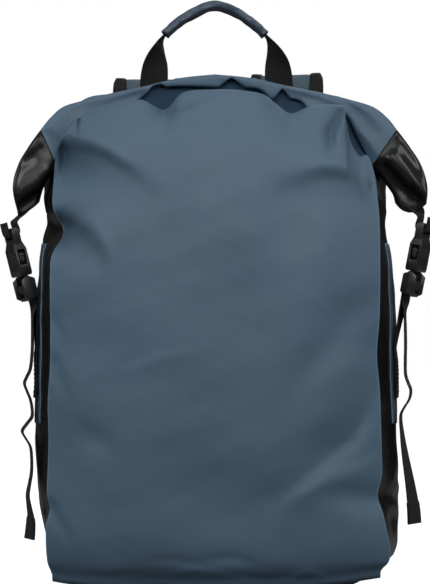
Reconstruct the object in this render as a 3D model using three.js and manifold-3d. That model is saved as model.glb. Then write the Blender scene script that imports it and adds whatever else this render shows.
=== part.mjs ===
// A roll-top backpack of coated canvas, rolled shut and standing on its base.
// Millimetres, +Z up, the front faces -Y, and the origin is the middle of the base's underside.
import * as THREE from "three";
import { mergeVertices } from "three/addons/utils/BufferGeometryUtils.js";
import Module from "manifold-3d";

const wasm = await Module();
wasm.setup();

// Driving dimensions
const CANVAS = 1.5; // thickness of the coated cloth, with its weld
const LAP_GAP = 0.7; // clearance between two lapped layers of cloth
const LAP_SHARE = 0.06; // how far a gusset runs on under the panels, as a share of half a panel
const FRONT_ROUNDNESS = 3.2; // power of the front's curve, seam to seam
const BACK_ROUNDNESS = 4;
const GUSSET_PEAK = 1.35; // above 1 puts the widest part of a gusset nearer the back
const BASE_LAP_SHARE = 0.012; // how far up the wall the base's edge is tucked inside
const BASE_ROUNDING = 15; // width of the base's turned-up edge
const BASE_TUCK_X = 6.2; // how far inside the walls that edge lies
const BASE_TUCK_Y = 3.5;
const BASE_END_STEPS = [0, 0.03, 0.06, 0.11]; // rows of the base close to its ends and its long sides
const BASE_SIDE_STEPS = [0, 0.06, 0.13];
const BASE_FLAT = 0.7; // share of the half length that has plain rows
const ROLL_TURNS = 1.6;
const ROLL_PITCH = 2.6; // one layer of the roll to the next
const ROLL_MID_Y = 1.5;
const ROLL_SQUARENESS = 0.7; // below 1 squares the section off
const ROLL_START = 0.875; // of a turn, where the spiral leaves the back panel
const PLEAT_FADE = 1.4; // of the roll's creases, for each turn inwards
const ROLL_JOIN = 7; // roll station where blue cloth meets black
const ROLL_JOIN_GAP = 0.04; // in stations
const WEBBING_WIDTH = 25;
const WEBBING = 1.5;
const PATCH_GAP = 0.35;
const PATCH = 1.2;
const PATCH_SHARES = [0.34, 0.75]; // its lower and upper edge, as shares of the wall
const PATCH_EDGES = [0.16, 0.7]; // across the gusset, from the front weld
const STRAP_YAW = THREE.MathUtils.degToRad(8.5); // the side straps face a little to the front
const STRAP_THROUGH = 0.46; // where they lie across the gusset
const STRAP_SEAT = 0.8; // webbing's middle from the wall, where it is sewn down
const STRAP_LEVEL = 230; // height on the gusset that the straps' frame is set by
const STRAP_SEWN = 48; // length that is sewn down
const GRIP_WALL = 1.6;
const PAD_HALF_WIDTH = 31.5;
const PAD_HALF_THICK = 4;
const PAD_REACHES = [-1, -0.85, -0.4, 0.4, 0.85, 1]; // columns across a pad
const PAD_EDGE_THINNING = 0.35; // share of the thickness lost at its edges
const PAD_EDGE_POWER = 6;
const BINDING_WALL = 1;

const MITRE_LIMIT = 0.7;
const NEAR = 0.1; // rows before and after a place, for the direction of a line
const BAG_MIDDLE = new THREE.Vector3(0, 0, 200);

const LEFT = -1;
const RIGHT = 1;
const SIDE_NAMES = new Map([[LEFT, "left"], [RIGHT, "right"]]);

// A table with named columns: one object for each row
const table = (columns, rows) => rows.map((row) =>
  Object.fromEntries(columns.split(" ").map((name, i) => [name, row[i]])));

// The bag's wall from the base's edge (share 0) to the rolled mouth (share 1).
// front and back are the panels' middle lines, seam the welds, side the middle of a gusset.
const WALL = table(
  "share frontZ frontY seamZ seamX frontSeamY sideX backSeamY backY backZ archPower", [
    [0.00, 7, -63, 9, 137, -44, 149, 48, 58, 7, 2],
    [0.05, 24, -75, 25, 148, -53, 159, 56, 64, 24, 2],
    [0.12, 56, -82, 53, 149, -57, 162.5, 59, 66, 55, 2],
    [0.30, 140, -87, 128, 146.5, -58, 164, 60, 67, 138, 2],
    [0.50, 233, -87, 208, 145, -58, 163, 60, 67, 230, 2],
    [0.68, 315, -83, 280, 145.5, -56, 161.5, 58, 66, 313, 2.4],
    [0.80, 370, -75, 323, 145.5, -48, 158, 51, 61, 368, 3.2],
    [0.88, 406, -64, 350, 143.5, -37, 155.5, 40, 52, 402, 4.6],
    [0.94, 433, -48, 367, 141, -25, 149, 27, 36, 425, 6.5],
    [0.975, 443, -30, 375, 138.5, -17, 143, 15.5, 21, 437, 8],
    [1.00, 429, -6.6, 380, 136.5, -11.6, 138, 9.8, 11.7, 441, 8],
  ]);

// Where the front weld, or the middle of a gusset, is drawn in towards the bag.
// A negative depth pushes it out.
const SEAM_DENTS = table("side z depth reach", [
  [LEFT, 315, 11, 15],
  [LEFT, 165, -1.5, 22],
  [LEFT, 71, 3, 10],
  [RIGHT, 207, 2.5, 22],
  [RIGHT, 83, 5, 13],
  [RIGHT, 30, -6, 22],
]);
const GUSSET_DENTS = table("side z depth reach", [
  [LEFT, 324, 3, 12],
  [LEFT, 28, 9, 36],
  [RIGHT, 315, 2.5, 14],
  [RIGHT, 80, -3, 45],
]);

// Dents of the front panel, and ridges where depth is negative.
// angle is from +X towards +Z, length and width are half sizes.
const FRONT_FOLDS = table("x z angle length width depth", [
  [-100, 377, -26, 40, 10, 7],
  [-127, 312, 60, 24, 15, 8],
  [109, 400, 67, 20, 7, 4],
  [-134, 168, -64, 14, 7, 3],
  [-134, 57, -65, 24, 8, 4],
  [-100, 133, -38, 28, 15, 4],
  [83, 115, 43, 42, 17, 5],
  [97, 90, 40, 36, 13, -3],
  [95, 360, -5, 38, 13, 4],
  [113, 163, 70, 42, 13, 3],
]);

// Pleats that draw the front panel's crest down towards the roll
const CREST_DIPS = table("x depth reach", [
  [-41, 14, 9],
  [-86, 8, 32],
  [68, 11, 10],
  [98, 13, 30],
]);
const CREST_START = 0.84; // share of the wall where the pleats begin
const CREST_TOP = 0.975; // where they are deepest
const CREST_OVER = 0.985; // where they begin to end, behind the crest
const CREST_END_POWER = 6; // how sharply they end at the welds
const FOLDS_FADE = [0.93, 0.98]; // shares of the wall where the front's folds end

// The flattened roll, from its middle to one end: the upper and lower edge, and its depth.
const ROLL = table("topX topZ lowX lowZ depth midY", [
  [0, 459, 0, 419, 19, 0],
  [34, 455.5, 30, 416, 19, 0],
  [70, 447.5, 62, 408, 19, 0],
  [98, 442, 88, 402, 19, 0],
  [121.5, 435.5, 110, 397, 19, -1],
  [141, 428, 128, 391, 19, -2],
  [153, 418.5, 140, 385, 19, -3],
  [162, 407.5, 147, 379, 19, -4],
  [174, 391.5, 152.5, 371, 19, -5],
  [184, 376, 156, 362.5, 18, -5],
  [189.5, 362, 157.5, 354, 17, -5],
  [191.5, 347, 158.5, 344, 16, -5],
]);
// Of the upper edge: the left end is pulled in closer
const ROLL_REACH = new Map([[LEFT, 0.955], [RIGHT, 1]]);
const ROLL_END = ROLL.length - 1;

// Creases across the top of the roll
const ROLL_PLEATS = table("x depth reach", [
  [-55, 4, 7],
  [15, 4, 8],
  [62, 4, 7],
  [-128, 4, 8],
  [128, 4, 8],
]);

// Each side strap: the buckle's foot beside the gusset, its lean, and the tail's line down the side.
// out is the distance from the gusset, turn the twist of the webbing towards the front, in degrees.
const SIDE_STRAPS = new Map([
  [LEFT, {
    anchorZ: 167, footOut: 7, footZ: 254, lean: 14,
    tail: table("z out turn", [
      [241, 3.4, 0], [212, 3.4, 0], [192, 5.5, 0], [180, 10.5, 0], [166, 5.4, 0], [150, 3.8, 0],
      [137, 12.5, 0], [123, 5.2, 0], [100, 4.2, 0], [80, 7.5, 2], [62, 5, 8], [51, 5, 12], [40, 6, 14],
    ]),
  }],
  [RIGHT, {
    anchorZ: 167, footOut: 13, footZ: 258, lean: 11,
    tail: table("z out turn", [
      [244, 8, 0], [215, 8.5, 0], [188, 8.5, 0], [175, 13, 0], [165, 11.5, 0], [153, 4.6, 0], [138, 5, 2],
      [116, 8, 8], [93, 12, 14], [73, 15, 19], [63, 16, 21], [54, 16.5, 22],
    ]),
  }],
]);

// The carrying loop's middle line, left to right, and how far its webbing is turned edge-on.
const HANDLE = table("x y z turn", [
  [-55.5, 53.8, 402.8, 0], [-55.5, 37.3, 426.6, 0], [-55.5, 21.8, 438.7, 0], [-55.5, 19, 451, 0],
  [-54, 19, 467, 8], [-51.5, 19, 481, 45], [-47, 19, 493, 86], [-36, 19, 504, 90], [-20, 19, 514.5, 90],
  [0, 19, 520, 90], [20, 19, 515, 90], [36, 19, 504, 90], [47, 19, 493, 86], [53, 19, 481, 45],
  [56.5, 19, 467, 8], [58, 19, 451, 0], [58, 21.8, 438.7, 0], [58, 37.3, 426.6, 0], [58, 53.8, 402.8, 0],
]);
const GRIP_FROM = 6.2; // rows of the handle table that the sleeve covers
const GRIP_TO = 11.8;
const GRIP_HALF_WIDTH = 14.9;
const GRIP_HALF_THICK = 4.4;
const GRIP_SQUARENESS = 0.55;
const GRIP_OPENING = 0.2; // half angle of the sleeve's open seam, in radians

// A shoulder strap's middle line, from its weld on the back panel over the top and down the back.
const SHOULDER = table("x y z", [
  [57.5, 65.4, 376], [58, 65.6, 400], [58.5, 66.5, 424], [59, 69.5, 444], [60, 78, 455], [61.5, 88, 451],
  [63, 95, 432], [67, 99, 385], [74, 98, 310], [83, 93, 230], [90, 88, 170], [92.5, 86.5, 147],
]);

// The lower end of the shoulder strap: round the ladder lock's lower bar, then down to the base's corner.
// face is out from the bag and up along the lock, from its middle.
const LOCK_PATH = table("face up", [
  [4.4, -44], [3.6, -22], [3.6, -7], [2, -4], [-2, -4], [-3.6, -7], [-3.8, -14],
]);
const LOWER_STRAP = table("x y z", [
  [104, 79.5, 103], [113, 76, 76], [125, 71.5, 44], [133, 62.5, 22], [137, 51.7, 10], [138, 47.9, 1.2],
]);
const LADDER_LOCK = { x: 95, y: 86, z: 133.2, roll: 0.2, halfThick: 2.2, round: 0.8, slotHalf: 13.5 };
const LOCK_OUTLINE = table("y z", [[15, -10], [17, -8], [17, 8], [15, 10]]);
const LOCK_SLOTS = [[-6.5, -1.5], [1.5, 6.5]];

// Buckle, in its own frame: x is its thickness, y its width, z up from its foot.
const RAIL_INSIDE = 13.5; // half the room between the rails that flank the webbing
const RAIL_OUTSIDE = 17;
const RAIL_FACES = [-6.4, 5.8];
const RAIL_ENDS = [1.5, 20.9];
const BAR_HALF = 2.5;
const BAR_ROUND = 0.6;
const ADJUSTER_SLOTS = [[3.6, 8.2], [11.8, 16.6]]; // low and high
const PRONG_HALF = 2;
const PRONG_ROUND = 0.4;
const TONGUE = { halfThick: 1.6, halfWidth: 3, ends: [20.4, 44] };
const SOCKET_HALF_THICK = 5.6;
const SOCKET_ROUND = 1.2;
const SOCKET_OUTSIDE = 19; // past the shell's sides, for cutting through them
const CAVITY_HALF_THICK = 3.2;
const CAVITY_HALF_WIDTH = 14;
const CAVITY_ENDS = [21, 49];
const WINDOW_ENDS = [33, 46.8];
const NECK_HALF_THICK = 3.4;
const NECK_ROUND = 0.8;
const TAB_SLOT_HALF = 13;
const TAB_SLOT_ENDS = [56.5, 62.5];
const CUT_THROUGH = [-9, 9]; // past both faces of any plate

// Outlines of its plates: one half of each that is the same on both sides, and the right prong
const FOOT_OUTLINE = table("y z", [[15, 0], [17, 2], [17, 21.4], [16, 22.4]]);
const SHELL_OUTLINE = table("y z", [[16, 23], [17, 25], [17, 47], [13, 54]]);
const NECK_OUTLINE = table("y z", [[13.8, 50], [15.5, 56], [15.5, 64.5], [13, 67]]);
const PRONG_OUTLINE = table("y z", [
  [12.6, 19.4], [12.6, 32], [16.4, 36], [16.4, 43], [12.2, 46.5], [8.4, 46.5], [8.4, 19.4],
]);

// The webbing's way through the adjuster, and the tab's about the socket's bar, in the buckle's frame
const ADJUSTER_PATH = table("x z", [
  [-5.2, -2], [-5.2, 9], [-4.2, 12.6], [-1.6, 14.2], [1.6, 14.2], [4, 12.4], [4, 8.2], [1.6, 6],
  [-1.2, 5.4], [-3.4, 4], [-3.6, 0], [-3.6, -6],
]);
const TAB_PATH = table("x z", [
  [-5, 72], [-5, 65.5], [-4.6, 62], [-2.6, 59.8], [0, 59.3], [2.6, 59.8], [4.6, 62], [5, 65.5], [5, 73],
]);
const TAB_ROOM = 1.2; // between the tab's edges and the roll's inmost layer
const TAB_GRIP = 1.2; // stations of the roll that hold the tab
const TAB_TWIST = [0.3, 0.6]; // places between the roll and the buckle where the tab turns
const HEM_ROWS = 2; // rows at the end of a tail that are folded double

// The binding's section: out past the pad's edge, and up or down from its middle
const BINDING_SECTION = table("out face", [
  [-9, 4.4], [0.1, 4.4], [1.3, 0], [0.1, -4.4], [-9, -4.4],
]);

// Colours from the photograph
const SLATE_BLUE = new THREE.MeshStandardMaterial({ color: 0x4c5f6d, roughness: 0.55, metalness: 0 });
const GLOSS_BLACK = new THREE.MeshStandardMaterial({ color: 0x151517, roughness: 0.28, metalness: 0 });
const WEBBING_BLACK = new THREE.MeshStandardMaterial({ color: 0x1f1e21, roughness: 0.85, metalness: 0 });
const PLASTIC_BLACK = new THREE.MeshStandardMaterial({ color: 0x202022, roughness: 0.4, metalness: 0 });

const { lerp, smoothstep } = THREE.MathUtils;
const bell = (t) => Math.exp(-t * t);
const squared = (value, power) => Math.sign(value) * Math.abs(value) ** power;
const stepsBetween = (from, to, count) =>
  Array.from({ length: count + 1 }, (_, i) => lerp(from, to, i / count));

// Smooth value of one column of a table at a place along its key column, or along its row numbers.
function columnAt(rows, name, place, key) {
  const at = (i) => (key ? rows[i][key] : i);
  const last = rows.length - 1;
  let i = 0;
  while (i < last - 1 && place > at(i + 1)) i += 1;
  const slope = (k) => {
    const before = Math.max(k - 1, 0);
    const after = Math.min(k + 1, last);
    return (rows[after][name] - rows[before][name]) / (at(after) - at(before));
  };
  const span = at(i + 1) - at(i);
  const t = (place - at(i)) / span;
  const bend = (1 - t) * slope(i) * span - t * slope(i + 1) * span;
  const rise = rows[i + 1][name] - rows[i][name];
  return rows[i][name] + t * rise + t * (1 - t) * (bend - (1 - 2 * t) * rise);
}

const rowAt = (rows, place, key) =>
  Object.fromEntries(Object.keys(rows[0]).map((name) => [name, columnAt(rows, name, place, key)]));

// The bag's surface

function drawnIn(dents, side, z) {
  const near = dents.filter((dent) => dent.side === side);
  return near.reduce((sum, dent) => sum + dent.depth * bell((z - dent.z) / dent.reach), 0);
}

const seamHalf = (side, row) => row.seamX - drawnIn(SEAM_DENTS, side, row.seamZ);
const gussetHalf = (side, row) => row.sideX - drawnIn(GUSSET_DENTS, side, row.seamZ);

// How far the front panel is pressed in at a place seen from the front.
function foldDepth(x, z) {
  return FRONT_FOLDS.reduce((sum, fold) => {
    const angle = THREE.MathUtils.degToRad(fold.angle);
    const along = ((x - fold.x) * Math.cos(angle) + (z - fold.z) * Math.sin(angle)) / fold.length;
    const across = ((z - fold.z) * Math.cos(angle) - (x - fold.x) * Math.sin(angle)) / fold.width;
    return sum + fold.depth * bell(along) * bell(across);
  }, 0);
}

const crestDip = (x) => CREST_DIPS.reduce((sum, dip) => sum + dip.depth * bell((x - dip.x) / dip.reach), 0);

// across runs from -1 at the left weld to 1 at the right one.
function frontPoint(across, share) {
  const row = rowAt(WALL, share, "share");
  const side = across < 0 ? LEFT : RIGHT;
  const reach = Math.abs(across);
  const x = across * seamHalf(side, row);
  const z = lerp(row.frontZ, row.seamZ, reach ** row.archPower);
  const y = lerp(row.frontY, row.frontSeamY, reach ** FRONT_ROUNDNESS);
  const onCrest = smoothstep(share, CREST_START, CREST_TOP) * (1 - smoothstep(share, CREST_OVER, 1))
    * (1 - reach ** CREST_END_POWER);
  const pressed = foldDepth(x, z) * (1 - smoothstep(share, ...FOLDS_FADE));
  return new THREE.Vector3(x, y + pressed, z - crestDip(x) * onCrest);
}

function backPoint(across, share) {
  const row = rowAt(WALL, share, "share");
  const reach = Math.abs(across);
  const y = lerp(row.backY, row.backSeamY, reach ** BACK_ROUNDNESS);
  const z = lerp(row.backZ, row.seamZ, reach ** row.archPower);
  return new THREE.Vector3(across * row.seamX, y, z);
}

// through runs from 0 at the front weld to 1 at the back one, and past both under the panels.
function gussetPoint(side, through, share) {
  if (through < 0) return frontPoint(side * (1 + through), share);
  if (through > 1) return backPoint(side * (2 - through), share);
  const row = rowAt(WALL, share, "share");
  const point = frontPoint(side, share).lerp(backPoint(side, share), through);
  const bulge = Math.sin(Math.PI * through ** GUSSET_PEAK);
  point.x = lerp(point.x, side * gussetHalf(side, row), bulge);
  return point;
}

// The share of the wall where the welds stand at height z.
function shareAtSeam(z) {
  let low = 0;
  let high = 1;
  for (let i = 0; i < 30; i += 1) {
    const mid = (low + high) / 2;
    if (columnAt(WALL, "seamZ", mid, "share") < z) low = mid;
    else high = mid;
  }
  return low;
}

// Solids from grids of points

// A closed solid between two grids of points of the same size.
function solidBetween(outer, inner) {
  const rows = outer.length;
  const columns = outer[0].length;
  const layer = rows * columns;
  const points = [...outer.flat(), ...inner.flat()];
  const index = [];
  const quad = (a, b, c, d) => index.push(a, b, c, a, c, d);
  const at = (i, j) => i * columns + j;
  for (let i = 0; i + 1 < rows; i += 1) {
    for (let j = 0; j + 1 < columns; j += 1) {
      quad(at(i, j), at(i + 1, j), at(i + 1, j + 1), at(i, j + 1));
      quad(layer + at(i, j), layer + at(i, j + 1), layer + at(i + 1, j + 1), layer + at(i + 1, j));
    }
  }
  const rim = [];
  for (let j = 0; j < columns - 1; j += 1) rim.push(at(0, j));
  for (let i = 0; i < rows - 1; i += 1) rim.push(at(i, columns - 1));
  for (let j = columns - 1; j > 0; j -= 1) rim.push(at(rows - 1, j));
  for (let i = rows - 1; i > 0; i -= 1) rim.push(at(i, 0));
  rim.forEach((a, k) => {
    const b = rim[(k + 1) % rim.length];
    quad(a, b, layer + b, layer + a);
  });
  if (signedVolume(points, index) < 0) index.reverse();
  const geometry = new THREE.BufferGeometry().setFromPoints(points);
  geometry.setIndex(index);
  geometry.computeVertexNormals();
  return geometry;
}

function signedVolume(points, index) {
  let sum = 0;
  for (let i = 0; i < index.length; i += 3) {
    const [a, b, c] = [points[index[i]], points[index[i + 1]], points[index[i + 2]]];
    sum += a.dot(b.clone().cross(c)) / 6;
  }
  return sum;
}

const gridOf = (us, vs, pointAt) => us.map((u) => vs.map((v) => pointAt(u, v)));

// The direction at each point of a grid that moves every face beside it by the same distance.
function gridNormals(grid) {
  const faceNormal = (i, j) => {
    const along = grid[i + 1][j].clone().add(grid[i + 1][j + 1]).sub(grid[i][j]).sub(grid[i][j + 1]);
    const across = grid[i][j + 1].clone().add(grid[i + 1][j + 1]).sub(grid[i][j]).sub(grid[i + 1][j]);
    return along.cross(across).normalize();
  };
  return grid.map((line, i) => line.map((_, j) => {
    const beside = [];
    for (const di of [i - 1, i]) {
      for (const dj of [j - 1, j]) {
        const there = di >= 0 && dj >= 0 && di + 1 < grid.length && dj + 1 < line.length;
        if (there) beside.push(faceNormal(di, dj));
      }
    }
    const normal = beside.reduce((sum, face) => sum.add(face), new THREE.Vector3()).normalize();
    const least = Math.min(...beside.map((face) => face.dot(normal)));
    return normal.divideScalar(Math.max(least, MITRE_LIMIT));
  }));
}

// A cloth wall whose faces lie at two offsets from a grid, along the normals that point away from inside.
function clothWall(grid, low, high, inside = BAG_MIDDLE) {
  const normals = gridNormals(grid);
  const middle = [Math.floor(grid.length / 2), Math.floor(grid[0].length / 2)];
  const away = grid[middle[0]][middle[1]].clone().sub(inside);
  const sign = Math.sign(away.dot(normals[middle[0]][middle[1]]));
  const shifted = (offset) => grid.map((line, i) => line.map((point, j) =>
    point.clone().addScaledVector(normals[i][j], sign * offset)));
  return solidBetween(shifted(high), shifted(low));
}

// A flat strap along a line of stations { point, widthways, width, thick }.
function ribbon(stations) {
  const faces = [0.5, -0.5].map((half) => stations.map((station, i) => {
    const next = stations[Math.min(i + 1, stations.length - 1)].point;
    const before = stations[Math.max(i - 1, 0)].point;
    const along = next.clone().sub(before).normalize();
    const face = along.cross(station.widthways).normalize().multiplyScalar(half * station.thick);
    return [-0.5, 0.5].map((edge) =>
      station.point.clone().addScaledVector(station.widthways, edge * station.width).add(face));
  }));
  return solidBetween(faces[0], faces[1]);
}

// Joining and cutting

function solidOf(geometry) {
  const bare = geometry.clone();
  bare.deleteAttribute("normal");
  bare.deleteAttribute("uv");
  const merged = mergeVertices(bare, 1e-4);
  return new wasm.Manifold(new wasm.Mesh({
    numProp: 3,
    vertProperties: merged.attributes.position.array,
    triVerts: new Uint32Array(merged.index.array),
  }));
}

function geometryOf(solid) {
  const mesh = solid.getMesh();
  const geometry = new THREE.BufferGeometry();
  geometry.setAttribute("position", new THREE.BufferAttribute(mesh.vertProperties, 3));
  geometry.setIndex(new THREE.BufferAttribute(mesh.triVerts, 1));
  geometry.computeVertexNormals();
  return geometry;
}

// A block between two corners, given as [low, high] for x, y and z.
function block(xs, ys, zs) {
  const size = [xs, ys, zs].map(([low, high]) => high - low);
  const middle = [xs, ys, zs].map(([low, high]) => (low + high) / 2);
  return solidOf(new THREE.BoxGeometry(...size).translate(...middle));
}

// A plate cut to an outline in y and z, with rounded edges, x being its thickness.
function plate(outline, halfThick, round) {
  const shape = new THREE.Shape(outline.map(({ y, z }) => new THREE.Vector2(y, z)));
  const geometry = new THREE.ExtrudeGeometry(shape, {
    depth: 2 * (halfThick - round),
    bevelThickness: round,
    bevelSize: round,
    bevelOffset: -round,
    bevelSegments: 1,
    curveSegments: 3,
  });
  geometry.translate(0, 0, round - halfThick);
  const toYZ = new THREE.Matrix4().makeBasis(
    new THREE.Vector3(0, 1, 0), new THREE.Vector3(0, 0, 1), new THREE.Vector3(1, 0, 0));
  return solidOf(geometry.applyMatrix4(toYZ));
}

const mirrored = (half) => [...half, ...half.map(({ y, z }) => ({ y: -y, z })).reverse()];
const ordered = (a, b) => [Math.min(a, b), Math.max(a, b)];

// Pieces

const backpack = new THREE.Group();

function add(name, geometry, material, parent = backpack) {
  const mesh = new THREE.Mesh(geometry, material.clone());
  mesh.name = name;
  parent.add(mesh);
}

// A group of hard pieces that stands in a frame of its own.
function groupIn(frame) {
  const group = new THREE.Group();
  frame.decompose(group.position, group.quaternion, group.scale);
  backpack.add(group);
  return group;
}

// Rows of the walls and columns across them, closer together where the cloth turns or is dented
const SHARES = [0, 0.025, 0.05, 0.09, 0.14, 0.175, 0.215, 0.275, 0.34, 0.44, 0.55, 0.65, 0.72, 0.75, 0.785,
  0.83, 0.87, 0.91, 0.94, 0.96, 0.977, 0.99, 1];
const HALF_COLUMNS = [0.1, 0.21, 0.32, 0.43, 0.54, 0.65, 0.75, 0.85, 1 - LAP_SHARE, 1 - LAP_SHARE / 2, 1];
const BACK_SKIPPED = [0.175, 0.215, 0.275, 0.44, 0.75]; // rows the plain back does without
const BACK_HALF_COLUMNS = [0.32, 0.65, 0.85, 1 - LAP_SHARE, 1 - LAP_SHARE / 2, 1];
const GUSSET_COLUMNS = [-LAP_SHARE, -LAP_SHARE / 2, 0, PATCH_EDGES[0], 0.3, 0.43, 0.56, PATCH_EDGES[1],
  0.85, 1, 1 + LAP_SHARE / 2, 1 + LAP_SHARE];

const bothSides = (half) => [...half.map((t) => -t).reverse(), 0, ...half];
const within = (values, [low, high]) => values.filter((value) => value >= low && value <= high);

function addBody() {
  const front = gridOf(bothSides(HALF_COLUMNS), SHARES, frontPoint);
  add("front_panel", clothWall(front, -CANVAS, 0), SLATE_BLUE);

  const backShares = SHARES.filter((share) => !BACK_SKIPPED.includes(share));
  const back = gridOf(bothSides(BACK_HALF_COLUMNS), backShares, backPoint);
  add("back_panel", clothWall(back, -CANVAS, 0), SLATE_BLUE);

  const outside = -CANVAS - LAP_GAP;
  const patchInside = outside + PATCH_GAP;
  for (const [side, name] of SIDE_NAMES) {
    const onGusset = (through, share) => gussetPoint(side, through, share);
    const grid = gridOf(GUSSET_COLUMNS, SHARES.slice(0, -1), onGusset);
    add("gusset_" + name, clothWall(grid, outside - CANVAS, outside), GLOSS_BLACK);
    const patch = gridOf(within(GUSSET_COLUMNS, PATCH_EDGES), within(SHARES, PATCH_SHARES), onGusset);
    add("gusset_patch_" + name, clothWall(patch, patchInside, patchInside + PATCH), SLATE_BLUE);
  }
}

// The base is drawn between the lower edges of the four walls, flat inside and turned up at its edge.
function basePoint(across, through) {
  const share = BASE_LAP_SHARE;
  const blendAcross = (across + 1) / 2;
  const front = frontPoint(across, share);
  const back = backPoint(across, share);
  const left = gussetPoint(LEFT, through, share);
  const right = gussetPoint(RIGHT, through, share);
  const corner = (side) => frontPoint(side, share).lerp(backPoint(side, share), through);
  const point = front.clone().lerp(back, through);
  point.add(left.clone().sub(corner(LEFT)).multiplyScalar(1 - blendAcross));
  point.add(right.clone().sub(corner(RIGHT)).multiplyScalar(blendAcross));
  const inFromEnds = (1 - Math.abs(across)) * Math.abs(right.x);
  const inFromSides = Math.min(through, 1 - through) * (back.y - front.y);
  const turnUp = (distance) => Math.max(0, 1 - distance / BASE_ROUNDING) ** 2;
  const raised = 1 - (1 - turnUp(inFromEnds)) * (1 - turnUp(inFromSides));
  point.z *= raised;
  return point;
}

function addBase() {
  const across = [...BASE_END_STEPS.map((t) => t - 1), ...stepsBetween(-BASE_FLAT, BASE_FLAT, 4),
    ...BASE_END_STEPS.map((t) => 1 - t).reverse()];
  const through = [...BASE_SIDE_STEPS, 0.5, ...BASE_SIDE_STEPS.map((t) => 1 - t).reverse()];
  const grid = gridOf(across, through, (a, t) => {
    const point = basePoint(a, t);
    point.x -= a * BASE_TUCK_X;
    point.y -= (2 * t - 1) * BASE_TUCK_Y;
    return point;
  });
  const lifted = grid.map((line) => line.map((point) => point.clone().setZ(point.z + CANVAS)));
  add("base_panel", solidBetween(grid, lifted), SLATE_BLUE);
}

// The roll: a flattened spiral wall that starts low at the back and goes over the top.
// A station is a row of its table, negative to the left.
function rollSection(station) {
  const side = station < 0 ? LEFT : RIGHT;
  const row = rowAt(ROLL, Math.abs(station));
  const y = ROLL_MID_Y + row.midY;
  const top = new THREE.Vector3(side * ROLL_REACH.get(side) * row.topX, y, row.topZ);
  const low = new THREE.Vector3(side * row.lowX, y, row.lowZ);
  const middle = top.clone().lerp(low, 0.5);
  return { top, middle, up: top.clone().sub(middle).normalize(), depth: row.depth };
}

function rollPoint(turn, station) {
  const section = rollSection(station);
  const shrink = ROLL_PITCH * turn;
  const angle = 2 * Math.PI * (turn + ROLL_START);
  const back = squared(Math.cos(angle), ROLL_SQUARENESS);
  const up = squared(Math.sin(angle), ROLL_SQUARENESS);
  const crease = ROLL_PLEATS.reduce((sum, pleat) =>
    sum + pleat.depth * bell((section.top.x - pleat.x) / pleat.reach), 0);
  const onTop = Math.max(0, up) * Math.max(0, 1 - turn * PLEAT_FADE);
  const halfHeight = section.top.distanceTo(section.middle) - shrink;
  const point = section.middle.clone();
  point.addScaledVector(section.up, up * halfHeight - crease * onTop);
  point.y += back * (section.depth / 2 - shrink);
  return point;
}

function addRoll() {
  const turns = stepsBetween(0, ROLL_TURNS, 14);
  const wallAlong = (stations) => {
    const grid = gridOf(stations, turns, (station, turn) => rollPoint(turn, station));
    const inside = rollSection(stations[Math.floor(stations.length / 2)]).middle;
    return clothWall(grid, -CANVAS, 0, inside);
  };
  add("roll_centre", wallAlong(stepsBetween(-ROLL_JOIN, ROLL_JOIN, 18)), SLATE_BLUE);
  const end = [ROLL_JOIN + ROLL_JOIN_GAP, 8, 9, 10, ROLL_END];
  for (const [side, name] of SIDE_NAMES) {
    add("roll_end_" + name, wallAlong(end.map((station) => side * station)), GLOSS_BLACK);
  }
}

// Side straps. Their frame on the gusset: out from the wall, across the webbing, and up.
function strapFrame(side) {
  const foot = gussetPoint(side, STRAP_THROUGH, shareAtSeam(STRAP_LEVEL));
  const out = new THREE.Vector3(side * Math.cos(STRAP_YAW), -Math.sin(STRAP_YAW), 0);
  const up = new THREE.Vector3(0, 0, 1);
  const across = up.clone().cross(out);
  return new THREE.Matrix4().makeBasis(out, across, up).setPosition(foot.x, foot.y, 0);
}

// The buckle's frame: its foot, leaning out at the top.
function buckleFrame(side) {
  const { footOut, footZ, lean } = SIDE_STRAPS.get(side);
  const tilt = new THREE.Matrix4().makeRotationY(THREE.MathUtils.degToRad(lean));
  return strapFrame(side).multiply(tilt.setPosition(footOut, 0, footZ));
}

// A station of webbing at a place in a frame, turned about its own length.
function webbingAt(frame, x, z, turn = 0, width = WEBBING_WIDTH, thick = WEBBING) {
  const angle = THREE.MathUtils.degToRad(turn);
  const widthways = new THREE.Vector3(Math.sin(angle), Math.cos(angle), 0).transformDirection(frame);
  return { point: new THREE.Vector3(x, 0, z).applyMatrix4(frame), widthways, width, thick };
}

// The foot of the buckle: an adjuster with two slots, and two prongs that reach up into the socket.
function plugSolid() {
  const foot = plate(mirrored(FOOT_OUTLINE), BAR_HALF, BAR_ROUND);
  const rail = (side) => block(RAIL_FACES, ordered(side * RAIL_INSIDE, side * RAIL_OUTSIDE), RAIL_ENDS);
  const slots = ADJUSTER_SLOTS.map((ends) => block(CUT_THROUGH, [-RAIL_INSIDE, RAIL_INSIDE], ends));
  const prong = (side) =>
    plate(PRONG_OUTLINE.map(({ y, z }) => ({ y: side * y, z })), PRONG_HALF, PRONG_ROUND);
  const { halfThick, halfWidth, ends } = TONGUE;
  const tongue = block([-halfThick, halfThick], [-halfWidth, halfWidth], ends);
  const whole = wasm.Manifold.union([foot, rail(LEFT), rail(RIGHT), prong(LEFT), prong(RIGHT), tongue]);
  return wasm.Manifold.difference([whole, ...slots]);
}

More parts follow.
